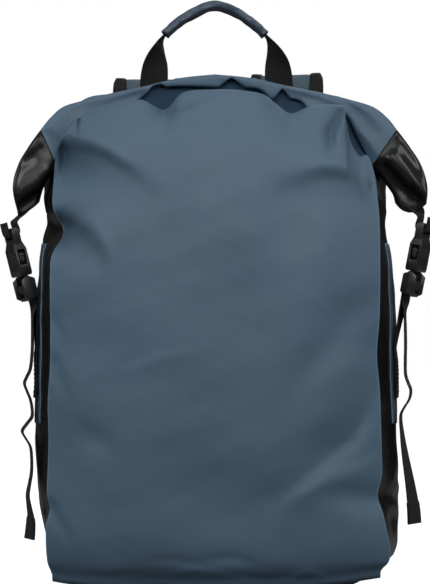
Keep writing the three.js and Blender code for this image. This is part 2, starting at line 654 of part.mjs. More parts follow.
// The socket: a shell with windows for the prongs, and a slotted neck for the tab.
function socketSolid() {
  const shell = plate(mirrored(SHELL_OUTLINE), SOCKET_HALF_THICK, SOCKET_ROUND);
  const neck = plate(mirrored(NECK_OUTLINE), NECK_HALF_THICK, NECK_ROUND);
  const inside = [-CAVITY_HALF_THICK, CAVITY_HALF_THICK];
  const cavity = block(inside, [-CAVITY_HALF_WIDTH, CAVITY_HALF_WIDTH], CAVITY_ENDS);
  const window = block(inside, [-SOCKET_OUTSIDE, SOCKET_OUTSIDE], WINDOW_ENDS);
  const slot = block(CUT_THROUGH, [-TAB_SLOT_HALF, TAB_SLOT_HALF], TAB_SLOT_ENDS);
  return wasm.Manifold.difference([wasm.Manifold.union(shell, neck), cavity, window, slot]);
}

// Sewn to the patch, up through the adjuster and back, then the free tail with its hem.
function sideStrap(side) {
  const { anchorZ, tail } = SIDE_STRAPS.get(side);
  const wall = strapFrame(side);
  const buckle = buckleFrame(side);
  const toFrame = wall.clone().invert();
  const sewn = stepsBetween(anchorZ, anchorZ + STRAP_SEWN, 3).map((z) => {
    const onWall = gussetPoint(side, STRAP_THROUGH, shareAtSeam(z)).applyMatrix4(toFrame);
    return webbingAt(wall, onWall.x + STRAP_SEAT, z);
  });
  const threaded = ADJUSTER_PATH.map(({ x, z }) => webbingAt(buckle, x, z));
  const hemStart = tail.length - HEM_ROWS;
  const hanging = stepsBetween(0, tail.length - 1, 2 * (tail.length - 1)).map((place) => {
    const row = rowAt(tail, place);
    const thick = place > hemStart ? 2 * WEBBING : WEBBING;
    return webbingAt(wall, row.out, row.z, side * row.turn, WEBBING_WIDTH, thick);
  });
  return ribbon([...sewn, ...threaded, ...hanging]);
}

// From the heart of the roll, turned a quarter round, about the socket's bar and up again.
function closureTab(side) {
  const buckle = buckleFrame(side);
  const gripped = [ROLL_END - TAB_GRIP, ROLL_END].map((station) => {
    const { top, middle, up } = rollSection(side * station);
    const width = 2 * (top.distanceTo(middle) - ROLL_PITCH * ROLL_TURNS - CANVAS - TAB_ROOM);
    return { point: middle, widthways: up, width, thick: WEBBING };
  });
  const round = TAB_PATH.map(({ x, z }) => webbingAt(buckle, x, z));
  const first = round[0];
  const last = gripped[1];
  if (last.widthways.dot(first.widthways) < 0) {
    for (const station of gripped) station.widthways.negate();
  }
  const twist = TAB_TWIST.map((t) => ({
    point: last.point.clone().lerp(first.point, t),
    widthways: last.widthways.clone().lerp(first.widthways, t).normalize(),
    width: lerp(last.width, first.width, t),
    thick: WEBBING,
  }));
  return ribbon([...gripped, ...twist, ...round]);
}

function addSides() {
  for (const [side, name] of SIDE_NAMES) {
    const buckle = groupIn(buckleFrame(side));
    add("buckle_plug_" + name, geometryOf(plugSolid()), PLASTIC_BLACK, buckle);
    add("buckle_socket_" + name, geometryOf(socketSolid()), PLASTIC_BLACK, buckle);
    add("side_strap_" + name, sideStrap(side), WEBBING_BLACK);
    add("closure_tab_" + name, closureTab(side), WEBBING_BLACK);
  }
}

// Carrying loop. Its webbing stands edge-on to the front inside the sleeve.
function handleFrame(place) {
  const at = (p) => {
    const row = rowAt(HANDLE, p);
    return new THREE.Vector3(row.x, row.y, row.z);
  };
  const last = HANDLE.length - 1;
  const along = at(Math.min(place + NEAR, last)).sub(at(Math.max(place - NEAR, 0))).normalize();
  const { turn } = rowAt(HANDLE, place);
  const flat = new THREE.Vector3(0, 1, 0).cross(along).normalize();
  const edgeOn = along.clone().cross(flat);
  const angle = THREE.MathUtils.degToRad(turn);
  const widthways = flat.multiplyScalar(Math.cos(angle)).addScaledVector(edgeOn, Math.sin(angle));
  widthways.normalize();
  return { point: at(place), widthways, facing: along.clone().cross(widthways) };
}

function addHandle() {
  const last = HANDLE.length - 1;
  const webbing = stepsBetween(0, last, 2 * last).map((place) => {
    const { point, widthways } = handleFrame(place);
    return { point, widthways, width: WEBBING_WIDTH, thick: WEBBING };
  });
  add("handle_webbing", ribbon(webbing), WEBBING_BLACK);

  const round = stepsBetween(GRIP_OPENING, 2 * Math.PI - GRIP_OPENING, 14);
  const grid = gridOf(stepsBetween(GRIP_FROM, GRIP_TO, 8), round, (place, angle) => {
    const { point, widthways, facing } = handleFrame(place);
    return point.addScaledVector(widthways, GRIP_HALF_WIDTH * squared(Math.sin(angle), GRIP_SQUARENESS))
      .addScaledVector(facing, -GRIP_HALF_THICK * squared(Math.cos(angle), GRIP_SQUARENESS));
  });
  const inside = handleFrame((GRIP_FROM + GRIP_TO) / 2).point;
  add("handle_grip", clothWall(grid, -GRIP_WALL, 0, inside), SLATE_BLUE);
}

// Shoulder straps: a pad, its binding, a ladder lock and the webbing below.
function padFrame(side, place) {
  const at = (p) => {
    const row = rowAt(SHOULDER, p);
    return new THREE.Vector3(side * row.x, row.y, row.z);
  };
  const last = SHOULDER.length - 1;
  const along = at(Math.min(place + NEAR, last)).sub(at(Math.max(place - NEAR, 0))).normalize();
  const across = new THREE.Vector3(1, 0, 0).addScaledVector(along, -along.x).normalize();
  return { point: at(place), along, across, facing: along.clone().cross(across) };
}

const PAD_PLACES = [0, 1.5, 2.6, 3.3, 4, 4.7, 5.5, 6.5, 8, SHOULDER.length - 1];

function padGeometry(side) {
  const face = (sign) => gridOf(PAD_PLACES, PAD_REACHES, (place, reach) => {
    const { point, across, facing } = padFrame(side, place);
    const thick = PAD_HALF_THICK * (1 - PAD_EDGE_THINNING * Math.abs(reach) ** PAD_EDGE_POWER);
    return point.addScaledVector(across, reach * PAD_HALF_WIDTH).addScaledVector(facing, sign * thick);
  });
  return solidBetween(face(1), face(-1));
}

// The binding follows one edge down, crosses the end, and follows the other edge up.
function bindingGeometry(side) {
  const last = SHOULDER.length - 1;
  const edge = (sign) => PAD_PLACES.map((place) => ({ place, reach: sign, down: 0 }));
  const down = edge(-1);
  const up = edge(1).reverse();
  down[down.length - 1].down = 1;
  up[0].down = 1;
  const line = [...down, { place: last, reach: 0, down: 1 }, ...up];
  const grid = gridOf(line, BINDING_SECTION, ({ place, reach, down: ends }, { out, face }) => {
    const { point, across, along, facing } = padFrame(side, place);
    point.addScaledVector(across, reach * (PAD_HALF_WIDTH + out));
    return point.addScaledVector(along, ends * out).addScaledVector(facing, face);
  });
  return clothWall(grid, 0, BINDING_WALL, padFrame(side, last).point);
}

function lockFrame(side) {
  const { x, y, z, roll } = LADDER_LOCK;
  const turned = new THREE.Matrix4().makeRotationZ(Math.PI / 2);
  const tipped = new THREE.Matrix4().makeRotationY(-side * roll).setPosition(side * x, y, z);
  return tipped.multiply(turned);
}

function lockSolid() {
  const { halfThick, round, slotHalf } = LADDER_LOCK;
  const frame = plate(mirrored(LOCK_OUTLINE), halfThick, round);
  const slots = LOCK_SLOTS.map((ends) => block(CUT_THROUGH, [-slotHalf, slotHalf], ends));
  return wasm.Manifold.difference([frame, ...slots]);
}

function lowerStrap(side) {
  const lock = lockFrame(side);
  const threaded = LOCK_PATH.map(({ face, up }) => webbingAt(lock, face, up));
  const last = LOWER_STRAP.length - 1;
  const at = (place) => {
    const row = rowAt(LOWER_STRAP, place);
    return new THREE.Vector3(side * row.x, row.y, row.z);
  };
  const hanging = stepsBetween(0, last, 2 * last).map((place) => {
    const along = at(Math.min(place + NEAR, last)).sub(at(Math.max(place - NEAR, 0))).normalize();
    const widthways = new THREE.Vector3(0, 1, 0).cross(along).normalize();
    if (widthways.dot(threaded[0].widthways) < 0) widthways.negate();
    return { point: at(place), widthways, width: WEBBING_WIDTH, thick: WEBBING };
  });
  return ribbon([...threaded, ...hanging]);
}

function addShoulderStraps() {
  for (const [side, name] of SIDE_NAMES) {
    add("shoulder_pad_" + name, padGeometry(side), SLATE_BLUE);
    add("pad_binding_" + name, bindingGeometry(side), WEBBING_BLACK);
    add("ladder_lock_" + name, geometryOf(lockSolid()), PLASTIC_BLACK, groupIn(lockFrame(side)));
    add("lower_strap_" + name, lowerStrap(side), WEBBING_BLACK);
  }
}

addBody();
addBase();
addRoll();
addSides();
addHandle();
addShoulderStraps();

export default backpack;
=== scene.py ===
"""A roll-top backpack in coated canvas, dressed around its CAD frame. Tables are in millimetres."""

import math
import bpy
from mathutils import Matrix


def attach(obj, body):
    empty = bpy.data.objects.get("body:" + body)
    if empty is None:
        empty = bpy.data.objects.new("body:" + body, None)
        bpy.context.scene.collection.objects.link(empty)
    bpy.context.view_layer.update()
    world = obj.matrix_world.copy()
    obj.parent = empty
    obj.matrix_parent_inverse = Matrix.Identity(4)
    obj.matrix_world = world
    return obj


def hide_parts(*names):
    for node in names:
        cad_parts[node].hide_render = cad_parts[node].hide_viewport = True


bl_info = {
    "name": "Roll-top Backpack",
    "version": (1, 0, 0),
    "blender": (4, 5, 0),
    "location": "View3D > Sidebar > Backpack",
    "description": "Builds the canvas, webbing and buckles of a roll-top backpack around its CAD frame",
    "category": "Object",
}

import bpy
import numpy as np
from bpy.props import FloatProperty, FloatVectorProperty, PointerProperty
from mathutils import Matrix, Vector

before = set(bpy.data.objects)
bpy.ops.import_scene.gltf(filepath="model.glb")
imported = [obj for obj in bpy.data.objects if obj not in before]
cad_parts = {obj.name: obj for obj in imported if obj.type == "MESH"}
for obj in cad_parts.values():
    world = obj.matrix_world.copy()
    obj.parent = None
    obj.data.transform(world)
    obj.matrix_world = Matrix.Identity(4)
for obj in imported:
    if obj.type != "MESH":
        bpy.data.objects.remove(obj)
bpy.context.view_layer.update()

MM = 0.001
TINY = 1e-9
LEFT = -1
RIGHT = 1
UP = 1
DOWN = -1
SIDES = {LEFT: "left", RIGHT: "right"}


def table(columns, rows):
    """The columns of a table, by name."""
    names = columns.split()
    return {name: np.array([row[i] for row in rows], float) for i, name in enumerate(names)}


def records(columns, rows):
    """The rows of a table, each by its columns' names."""
    return [dict(zip(columns.split(), row)) for row in rows]


def steps(start, *stretches):
    """Places along stretches of (end, count), each with its own spacing."""
    made = []
    for end, count in stretches:
        made.extend(np.linspace(start, end, count)[:-1])
        start = end
    return np.array(made + [start], float)


# The bag's wall, from the base's edge at share 0 to the rolled mouth at share 1
WALL = table("share frontZ frontY seamZ seamX frontSeamY sideX backSeamY backY backZ archPower", [
    (0.00, 7, -63, 9, 144, -46, 149, 48, 58, 7, 2),
    (0.05, 24, -75, 25, 148, -53, 159, 56, 64, 24, 2),
    (0.12, 56, -82, 53, 149, -57, 162.5, 59, 66, 55, 2),
    (0.30, 140, -87, 128, 146.5, -58, 164, 60, 67, 138, 2),
    (0.50, 233, -87, 208, 145, -58, 163, 60, 67, 230, 2),
    (0.68, 315, -83, 280, 145.5, -56, 161.5, 58, 66, 313, 2.4),
    (0.80, 370, -75, 323, 145.5, -48, 158, 51, 61, 368, 3.2),
    (0.88, 406, -64, 350, 144, -37, 157, 40, 52, 402, 5),
    (0.94, 433, -48, 367, 143.5, -26, 157, 27, 36, 425, 9),
    (0.975, 443, -30, 375, 143.5, -19, 151.5, 15.5, 21, 437, 13),
    (1.00, 429, -6.6, 380, 142, -14, 146, 9.8, 11.7, 441, 14),
])
FRONT_ROUNDNESS = 3.2
BACK_ROUNDNESS = 4
GUSSET_PEAK = 1.35  # how far back the gusset bulges most, as a power
GUSSET_TOP_PEAK = 3  # near the roll the gusset bulges further back, behind the roll's end
GUSSET_TOP = (0.86, 0.95)
GUSSET_TUCK = 9  # how far the gusset draws in at its foot
GUSSET_FOOT = 0.05
LAP_SHARE = 0.06  # how far the gussets run on under the front and the back, as a share
WELD_EDGE = 0.993  # the outermost share of a panel that shows pale along its weld
CURL_SHARE = 0.03  # how far the walls run on under the bag, as a share
CURL_IN = 9
CURL_DOWN = 6.6

# Soft relief of the panels: half its height, how far it is stretched sideways, wavelength and seed
RIPPLE_COLUMNS = "height stretch wavelength seed"
FRONT_RIPPLES = records(RIPPLE_COLUMNS, [(1.4, 1, 95, 3), (0.6, 1, 44, 4), (0.16, 1, 19, 5)])
BACK_RIPPLES = records(RIPPLE_COLUMNS, [(0.8, 1, 110, 11), (0.25, 1, 42, 12)])
GUSSET_RIPPLES = records(RIPPLE_COLUMNS, [(0.75, 1.6, 60, 21), (0.35, 1, 24, 31)])
CRINKLE_STRETCH = 0.8
CRINKLE_SEED = 61
RIPPLE_RANGE = 1.5  # brings the sum of a ripple's waves to about 1
RIPPLE_PITCH = (0.6, 1.8)  # how far a ripple's waves differ in length
# Where the relief fades: by share up the wall, and by the distance from a panel's edge
FRONT_MARGIN = 0.07
FRONT_MARGIN_START = (0.85, 0.92)
BACK_FADE = (0.8, 0.93)
BACK_MARGIN = 0.1
GUSSET_MARGIN = (0.02, 0.2)

# Counts of the meshes' rows, one way and the other
BASE_COUNTS = (61, 31)
PATCH_COUNTS = (36, 70)
ROLL_COUNTS = {"centre": 281, "end": 76, "turns": 90}
GRIP_COUNTS = (90, 64)
PAD_COUNTS = (170, 48)
TAPE_COUNT = 150
SEAM_SEARCH = 4001  # places looked at to find one on a seam
ROLL_SEARCH = 801  # and on the roll
# Spacing of the panels' rows, closer where the cloth bends more
FRONT_SHARES = steps(-CURL_SHARE, (0.1, 22), (0.82, 92), (1, 56))
FRONT_ACROSS = steps(-1, (-0.8, 46), (0.8, 130), (1, 46))
BACK_SHARES = steps(-CURL_SHARE, (0.1, 16), (1, 90))
BACK_ACROSS = steps(-1, (1, 121))
GUSSET_SHARES = steps(-CURL_SHARE / 3, (0.1, 16), (0.965, 132))
GUSSET_THROUGH = steps(-LAP_SHARE, (0, 4), (1, 60), (1 + LAP_SHARE, 4))
UNDER_LAP = 0.15  # room between lapped cloths

# The base: half its length and width, how its edges bow in, and the turned-up edge
BASE_HALF = (134, 51)
BASE_MID_Y = 2
BASE_BOW = 0.2
BASE_TURN_SIDE = 14
BASE_TURN_FRONT = 26
BASE_TURN_BACK = 10
BASE_TURN_UP = 5

# How far the front panel's lower edge stands off the floor
BOTTOM_EDGE = table("x lift", [
    (-145, 3), (-136, 2), (-121, 0.8), (-101, 0), (-70, 0.6), (-48, 1.6), (-18, 0.8), (30, 1.6), (55, 1.2),
    (82, 0.8), (112, 2.5), (130, 4.5), (145, 6),
])
BOTTOM_SHARE = 0.06

SEAM_DENTS = records("side z depth reach", [
    (LEFT, 315, 11, 15),
    (LEFT, 165, -1.5, 22),
    (LEFT, 71, 3, 10),
    (RIGHT, 390, 8, 17),
    (RIGHT, 207, 2.5, 22),
    (RIGHT, 83, 5, 13),
    (RIGHT, 30, -6, 22),
])
GUSSET_DENTS = records("side z depth reach", [
    (LEFT, 324, 3, 12),
    (LEFT, 28, 9, 36),
    (RIGHT, 315, 2.5, 14),
    (RIGHT, 85, -5, 60),
    (RIGHT, 38, -3.5, 20),
    (RIGHT, 215, -2.5, 60),
])
GUSSET_CRINKLES = records("side z depth reach pitch", [
    (LEFT, 342, 4, 24, 26),
    (LEFT, 60, 2.2, 30, 30),
    (RIGHT, 345, 2, 26, 28),
    (RIGHT, 66, 2.6, 34, 30),
])
# The upper edge of the front panel, seen from the front
CREST = table("x z", [
    (-143, 382), (-136, 400), (-124.5, 414.8), (-102, 426.4), (-66.7, 433), (-57, 429), (-46, 424),
    (-39, 428), (-32, 437), (-22, 441), (-5, 442), (15, 442), (31, 440), (44.5, 437), (53.4, 430),
    (66.7, 421), (84.5, 427.3), (112, 428.5), (115.5, 424), (117.5, 411), (120, 399), (124.5, 388),
    (131, 377), (137, 374), (143, 375),
])
CREST_START = 0.79
CREST_TOP = 0.975
CREST_END_POWER = 30  # keeps the crest off the very corners
FOLDS_FADE = (0.955, 0.985)

# Folds of the front panel: a line seen from the front (x z), its reach on its upper and its lower side, its
# depth, and its strength at both ends. A negative depth is a ridge.
FOLD_COLUMNS = "path upper lower depth ends"
FRONT_FOLDS = records(FOLD_COLUMNS, [
    (((-136, 388), (-116, 383), (-96, 376), (-79, 365), (-62, 351)), 9, 26, 13, (1, 0.15)),
    (((-134, 383), (-120, 378)), 10, 22, 6, (1, 0.6)),
    (((-124, 404), (-100, 391), (-74, 372)), 7, 7, -3.5, (0.6, 0.4)),
    (((-136, 322), (-118, 312), (-110, 301)), 8, 17, 13, (1, 0.3)),
    (((-138, 314), (-120, 308)), 12, 22, 5, (1, 0.6)),
    (((-104, 318), (-96, 303), (-92, 286)), 6, 6, -2.2, (0.5, 0.3)),
    (((-43, 421), (-29, 424), (-14, 431), (0, 438)), 7, 4, 6, (1, 0.1)),
    (((66, 353), (96, 360), (130, 353)), 9, 20, 7, (0.2, 0.6)),
    (((88, 372), (110, 374), (130, 366)), 8, 7, -2.5, (0.3, 0.3)),
    (((63, 172), (83, 194), (113, 237), (138, 255)), 14, 17, 3.5, (0.4, 0.6)),
    (((58, 85), (92, 115), (118, 133), (138, 168)), 22, 8, 5, (0.5, 0.4)),
    (((63, 78), (96, 95), (138, 111)), 7, 9, -2.2, (0.4, 0.4)),
    (((102, 85), (138, 80)), 10, 15, 4.5, (0.2, 0.8)),
    (((-83, 191.6), (-48, 204.7), (-13, 211.3)), 4, 12, -1.1, (0.2, 0.2)),
    (((-142, 237), (-131, 211)), 6, 9, 2.5, (0.8, 0.1)),
    (((-141, 198), (-129, 168)), 6, 9, 3, (0.8, 0.1)),
    (((-122, 146), (-87, 122)), 10, 15, 3, (0.3, 0.3)),
    (((-144, 72), (-127, 45)), 5, 9, 3.5, (1, 0.2)),
    (((112, 420), (102, 403), (102.5, 388)), 4, 6, 10, (0.8, 0.3)),
    (((114, 414), (109, 400), (109, 386)), 4, 4, -3, (0.6, 0.3)),
    (((50, 424), (40, 407)), 8, 8, 3.5, (0.9, 0.1)),
    (((-114, 419), (-79, 414), (-48, 414)), 8, 13, 3.5, (0.4, 0.6)),
    (((-44, 98), (9, 76), (57, 59)), 36, 32, 4.5, (0.5, 0.5)),
    (((-62, 27), (-34, 29), (-12, 22)), 3.5, 5, 1.4, (0.2, 0.4)),
    (((-18, 27), (16, 31), (44, 21)), 3.5, 6, 1.6, (0.3, 0.2)),
    (((-49, 12), (-18, 20), (17, 13)), 3, 4, -1.2, (0.4, 0.4)),
    (((61, 10), (82, 17), (96, 13)), 3, 4, -1.5, (0.4, 0.4)),
    (((-120, 14), (-90, 12), (-66, 17)), 3, 5, 1.6, (0.4, 0.3)),
    (((20, 14), (48, 10), (70, 14)), 3, 4, 1.4, (0.3, 0.3)),
])
SHADED_FOLD_DEPTH = 5  # folds as deep as this get painted shade on the cloth
FOLD_SHADE = 0.04  # painted shade for each millimetre of their depth
# Deep creases of the front panel, with painted shade along them
FRONT_SLITS = records(FOLD_COLUMNS, [
    (((-121.5, 418), (-123, 403)), 1.7, 1.7, 5, (1, 0.2)),
])

# The roll from its middle to each end: upper and lower edges at both sides, depth and middle front to back
ROLL = table("leftTopX leftTopZ rightTopX rightTopZ leftLowX leftLowZ rightLowX rightLowZ depth midY", [
    (0, 459, 0, 459, 0, 419, 0, 419, 19, 0),
    (32.5, 455.5, 34, 455.5, 30, 416, 30, 416, 19, 0),
    (67, 447.5, 70, 447.5, 62, 408, 62, 408, 19, 0),
    (93.5, 442, 98, 442, 88, 402, 92, 408, 19, 0),
    (116, 436, 122, 436, 110, 397, 116, 418, 19, -1),
    (136, 430, 142.5, 429.5, 125, 390, 125, 402, 19, -2),
    (148, 420, 155, 420, 135, 382, 133, 386, 19, -3),
    (157, 409, 164, 409, 140, 372.5, 139, 373, 19, -4),
    (168.5, 393, 176, 393, 146, 365, 147, 364, 19, -5),
    (178, 376.5, 186, 377, 150, 358.5, 152, 357, 18, -5),
    (182.5, 356, 191.5, 359, 153, 352, 156.5, 351, 17, -5),
    (178, 331, 191, 341, 156.5, 345, 160, 346, 16, -5),
])
ROLL_END = 11
ROLL_JOIN = 7  # the station where the blue cloth meets the black
ROLL_JOIN_LAP = 0.25  # how far the black ends run on under the blue cloth, in stations
ROLL_POINT = {LEFT: 2, RIGHT: 10}  # how far the middle of each end's rim stands out
ROLL_POINT_START = 9
ROLL_MID_Y = 1.5
ROLL_SQUARENESS = 0.58
ROLL_START = 0.875  # where the cloth comes in behind, in turns
ROLL_PITCH = 2.6  # how far each turn lies inside the one before
ROLL_TURNS = 1.6
ROLL_LEAST = (1.2, 1.5)  # the least half height and half depth of the innermost turn
ROLL_BACK_LOW = 430
ROLL_BACK_LEAST = 0.785
ROLL_BACK_STATION = 5
ROLL_TUCK = 4  # how far inside the roll the panels end
ROLL_STEPS = np.linspace(0.1, 1, 9)  # steps of a panel's last stretch into the roll
ROLL_SHADE = 0.9  # how much painted shade that stretch gets
PLEAT_FRONT = 5  # how far in front of its middle the roll takes its pleats in full
PLEAT_FADE = (0.85, 1.0)
JOIN_FADE = (ROLL_JOIN - 0.02, ROLL_JOIN + 0.05)
# Creases of the roll's black ends, as for the front panel
END_CREASES = records(FOLD_COLUMNS, [
    (((-184, 342), (-166, 354), (-149, 366)), 16, 7, -6, (0.8, 0.9)),
    (((-177, 374), (-158, 388)), 6, 6, 2, (0.5, 0.5)),
    (((-176, 338), (-160, 350)), 4, 4, 2.5, (0.8, 0.6)),
    (((158, 381), (175, 364), (189, 348)), 7, 5, -6.5, (0.8, 0.9)),
    (((152, 372), (166, 356), (178, 345)), 5, 6, 2.2, (0.5, 0.6)),
    (((166, 398), (180, 376)), 5, 5, 1.8, (0.5, 0.5)),
])
# Where the black ends are duller and get painted shade, with 1 for their depth
END_DULL_SHADE = records(FOLD_COLUMNS, [
    (((-178, 374), (-154, 396)), 22, 8, 1, (1, 1)),
    (((158, 399), (188, 362)), 22, 9, 1, (1, 1)),
])
# Pleats of the roll's blue middle
ROLL_PLEATS = records(FOLD_COLUMNS, [
    (((-112, 424), (-86, 434), (-64, 440)), 4, 5, 2.6, (0.5, 0.8)),
    (((-126, 424), (-100, 434)), 4, 5, 1.6, (0.6, 0.4)),
    (((-60, 449), (-40, 446)), 3, 4, 1.6, (0.8, 0.2)),
    (((-2, 452), (12, 448), (26, 446)), 3, 4, 1.2, (0.2, 0.8)),
    (((66, 440), (92, 434), (112, 424)), 4, 5, 2.4, (0.8, 0.5)),
    (((118, 431), (134, 420), (146, 404)), 3, 4, 2, (0.6, 0.6)),
    (((124, 422), (136, 411), (146, 394)), 3, 4, 1.8, (0.7, 0.5)),
    (((130, 406), (140, 396), (147, 383)), 4, 4, -2, (0.5, 0.5)),
    (((-152, 404), (-141, 396), (-133, 384)), 4, 5, 1.8, (0.6, 0.6)),
])
# The lower front edge of the roll where it stands clear of the front panel
ROLL_LIP = table("x z", [
    (-110, 400), (-80, 424), (-65, 436.5), (-47, 443), (-36, 444.5), (5, 443), (29, 443), (42, 441),
    (54, 432), (66, 434), (87, 427), (110, 400),
])
LIP_NARROW = 0.96
LIP_ROOM = 4  # the least height of the roll above its lip
LIP_STATIONS = (2.3, 3.2)  # where the lip gives way to the roll's own lower edge
LIP_TENTS = records("x rise reach", [
    (-54, 9, 9),
    (15.2, 9.5, 12),
    (62, 9, 8),
])

# Side straps: the buckle's foot, its lean, and the tail down the side
STRAP_YAW = math.radians(8.5)
STRAP_THROUGH = 0.46
STRAP_LEVEL = 230
STRAP_SEWN = 48  # the length sewn down
STRAP_SEWN_COUNT = 6
STRAP_SEAT = 0.8
STRAP_BOX = (4, 36)  # where its sewn box starts and ends, along the strap
TAIL_STEPS = 2  # stations for each row of a tail's table
TAIL_COLUMNS = "z out turn"
SIDE_STRAPS = {
    LEFT: dict(anchor=167, foot_out=7, foot_z=254, lean=14, tail=table(TAIL_COLUMNS, [
        (241, 3.4, 0), (212, 3.4, 0), (192, 5.5, 0), (180, 10.5, 0), (166, 5.4, 0), (150, 3.8, 0),
        (137, 12.5, 0), (123, 5.2, 0), (100, 4.2, 0), (80, 7.5, 2), (62, 5, 8), (51, 5, 12), (40, 6, 14),
    ])),
    RIGHT: dict(anchor=167, foot_out=13, foot_z=258, lean=11, tail=table(TAIL_COLUMNS, [
        (244, 8, 0), (215, 8.5, 0), (188, 8.5, 0), (175, 13, 0), (165, 11.5, 0), (153, 4.6, 0), (138, 5, 2),
        (116, 8, 8), (93, 12, 14), (73, 15, 19), (63, 16, 21), (54, 16.5, 22),
    ])),
}
HEM_LENGTH = 19
HEM_ROWS = (3, 5.5)  # rows of stitches, from where the hem starts
# The webbing's way through the adjuster, and the tab's about the socket's bar, in the buckle's frame
ADJUSTER_PATH = [(-5.2, -2), (-5.2, 9), (-4.2, 12.6), (-1.6, 14.2), (1.6, 14.2), (4, 12.4), (4, 8.2),
                 (1.6, 6), (-1.2, 5.4), (-3.4, 4), (-3.6, 0), (-3.6, -6)]
TAB_PATH = [(-5, 72), (-5, 65.5), (-4.6, 62), (-2.6, 59.8), (0, 59.3), (2.6, 59.8), (4.6, 62), (5, 65.5),
            (5, 73)]
BUCKLE_TURN = math.radians(10)  # how far a buckle turns to the front on its strap
TAB_GRIP = 1.2  # how far the tab runs into the roll's end, in stations
TAB_ROOM = 2.7  # between the tab's edges and the roll's innermost turn
TAB_ROWS = (1.5, 3, 4.5)  # its rows of stitches, from its far end
TAB_TWIST = (0.3, 0.6)  # where it turns on its way from the roll to the buckle

# The carrying loop, left to right, and how far its webbing is turned edge-on
HANDLE = table("x y z turn", [
    (-55.5, 53.8, 402.8, 0), (-55.5, 37.3, 426.6, 0), (-55.5, 21.8, 438.7, 0), (-55.5, 19, 451, 0),
    (-54, 19, 467, 26), (-51.5, 19, 481, 62), (-47, 19, 493, 88), (-36, 19, 504, 90), (-20, 19, 514.5, 90),
    (0, 19, 521.5, 90), (20, 19, 515, 90), (36, 19, 504, 90), (47, 19, 493, 88), (53, 19, 481, 62),
    (56.5, 19, 467, 26), (58, 19, 451, 0), (58, 21.8, 438.7, 0), (58, 37.3, 426.6, 0), (58, 53.8, 402.8, 0),
])
GRIP_ROWS = (6.2, 11.8)  # the rows of the loop's table that the sleeve covers
GRIP_HALF_WIDTH = 14.9
GRIP_HALF_THICK = 4.1
GRIP_SQUARENESS = 0.55
GRIP_OPENING = 0.2
GRIP_SOFT = (0.09, 9, 20, 14, 41)  # unevenness: height, stretch around and along, wavelength and seed
HANDLE_LAST = len(HANDLE["x"]) - 1
HANDLE_STEPS = 3  # stations for each row of the loop's table
HANDLE_BOX = (3, 25)  # where a sewn box starts and ends, from each end of the loop
HANDLE_OUT = (0, 1, 0.5)  # the way that its sewn ends look

# A shoulder strap's middle line, and how far the right one lies to the side and stands higher
SHOULDER = table("x y z aside rise", [
    (57.5, 65.4, 376, 0, 0), (58, 65.6, 400, 1, 0), (58.5, 66.5, 424, 3, 1), (59, 69.5, 444, 5, 3.5),
    (60, 78, 455, 6, 4), (61.5, 88, 451, 6, 3.5), (63, 95, 432, 5, 2), (67, 99, 385, 2.5, 0),
    (74, 98, 310, 0, 0), (83, 93, 230, 0, 0), (90, 88, 170, 0, 0), (92.5, 86.5, 147, 0, 0),
])
PAD_HALF_WIDTH = 31.5
PAD_HALF_THICK = 4
PAD_SQUARENESS = 0.5
PAD_FLAT = 0.55  # how much of the crown the tape takes from the edges
PAD_FLAT_POWER = 4  # and how close to them
PAD_END = (0.55, 3)  # thickness at the very ends, and how fast it grows
PAD_SOFT = (0.05, 30, 40, 34, 51)
SHOULDER_LAST = len(SHOULDER["x"]) - 1
TAPE_END = 0.02
TAPE_END_REACH = (-1, -0.5, 0, 0.5, 1)  # places across the pad's lower end
TAPE_TEST_ROW = 40  # where the way that the tape faces is tested
PAD_LEAN = 0.008  # for each millimetre that the right pad stands higher
BINDING_SECTION = [(-9, 4.5), (-4.5, 4.85), (0.1, 4.5), (1.9, 0), (0.1, -4.5), (-4.5, -4.85), (-9, -4.5)]
BINDING_WALL = 0.9
TAPE_STITCH = 6.5  # from the pad's edge
TAPE_HALF_THICK = 4.7
LOCK = dict(x=95, y=86, z=133.2, roll=0.2)
LOCK_PATH = [(4.4, -44), (3.6, -22), (3.6, -7), (2, -4), (-2, -4), (-3.6, -7), (-3.8, -14)]
LOWER_STRAP = [(104, 79.5, 103), (113, 76, 76), (125, 71.5, 44), (131, 62.5, 22), (134, 51.7, 10),
               (133, 47.9, 1.2)]

# Moulded blocks of the buckles and ladder locks: two corners each, thickness, width, height
BLOCKS = {
    "plug": ((-2.5, -17, 2), (2.5, 17, 21.4)),
    "adjuster_slot_low": ((-9, -13.2, 3.6), (9, 13.2, 8.2)),
    "adjuster_slot_high": ((-9, -13.2, 11.8), (9, 13.2, 16.6)),
    "rail": ((-6.4, 13.5, 3.5), (5.8, 17, 19)),
    "prong": ((-2, 8.4, 19.4), (2, 12.6, 32)),
    "rib_1": ((-1.7, 15.6, 37), (1.7, 17.1, 38)),
    "rib_2": ((-1.7, 15.6, 39), (1.7, 17.1, 40)),
    "rib_3": ((-1.7, 15.6, 41), (1.7, 17.1, 42)),
    "guide": ((-1.6, -3, 20.4), (1.6, 3, 40)),
    "socket": ((-5.6, -17, 25), (5.6, 17, 47)),
    "neck": ((-3.4, -15.5, 56), (3.4, 15.5, 64.5)),
    "tab_slot": ((-9, -13, 56.5), (9, 13, 62.5)),
    "cavity": ((-3.2, -14, 20), (3.2, 14, 49)),
    "window": ((-3.2, 12, 33), (3.2, 20, 46.8)),
    "lock": ((-2.2, -17, -8), (2.2, 17, 8)),
    "lock_slot_low": ((-9, -13.5, -6.5), (9, 13.5, -1.5)),
    "lock_slot_high": ((-9, -13.5, 1.5), (9, 13.5, 6.5)),
}
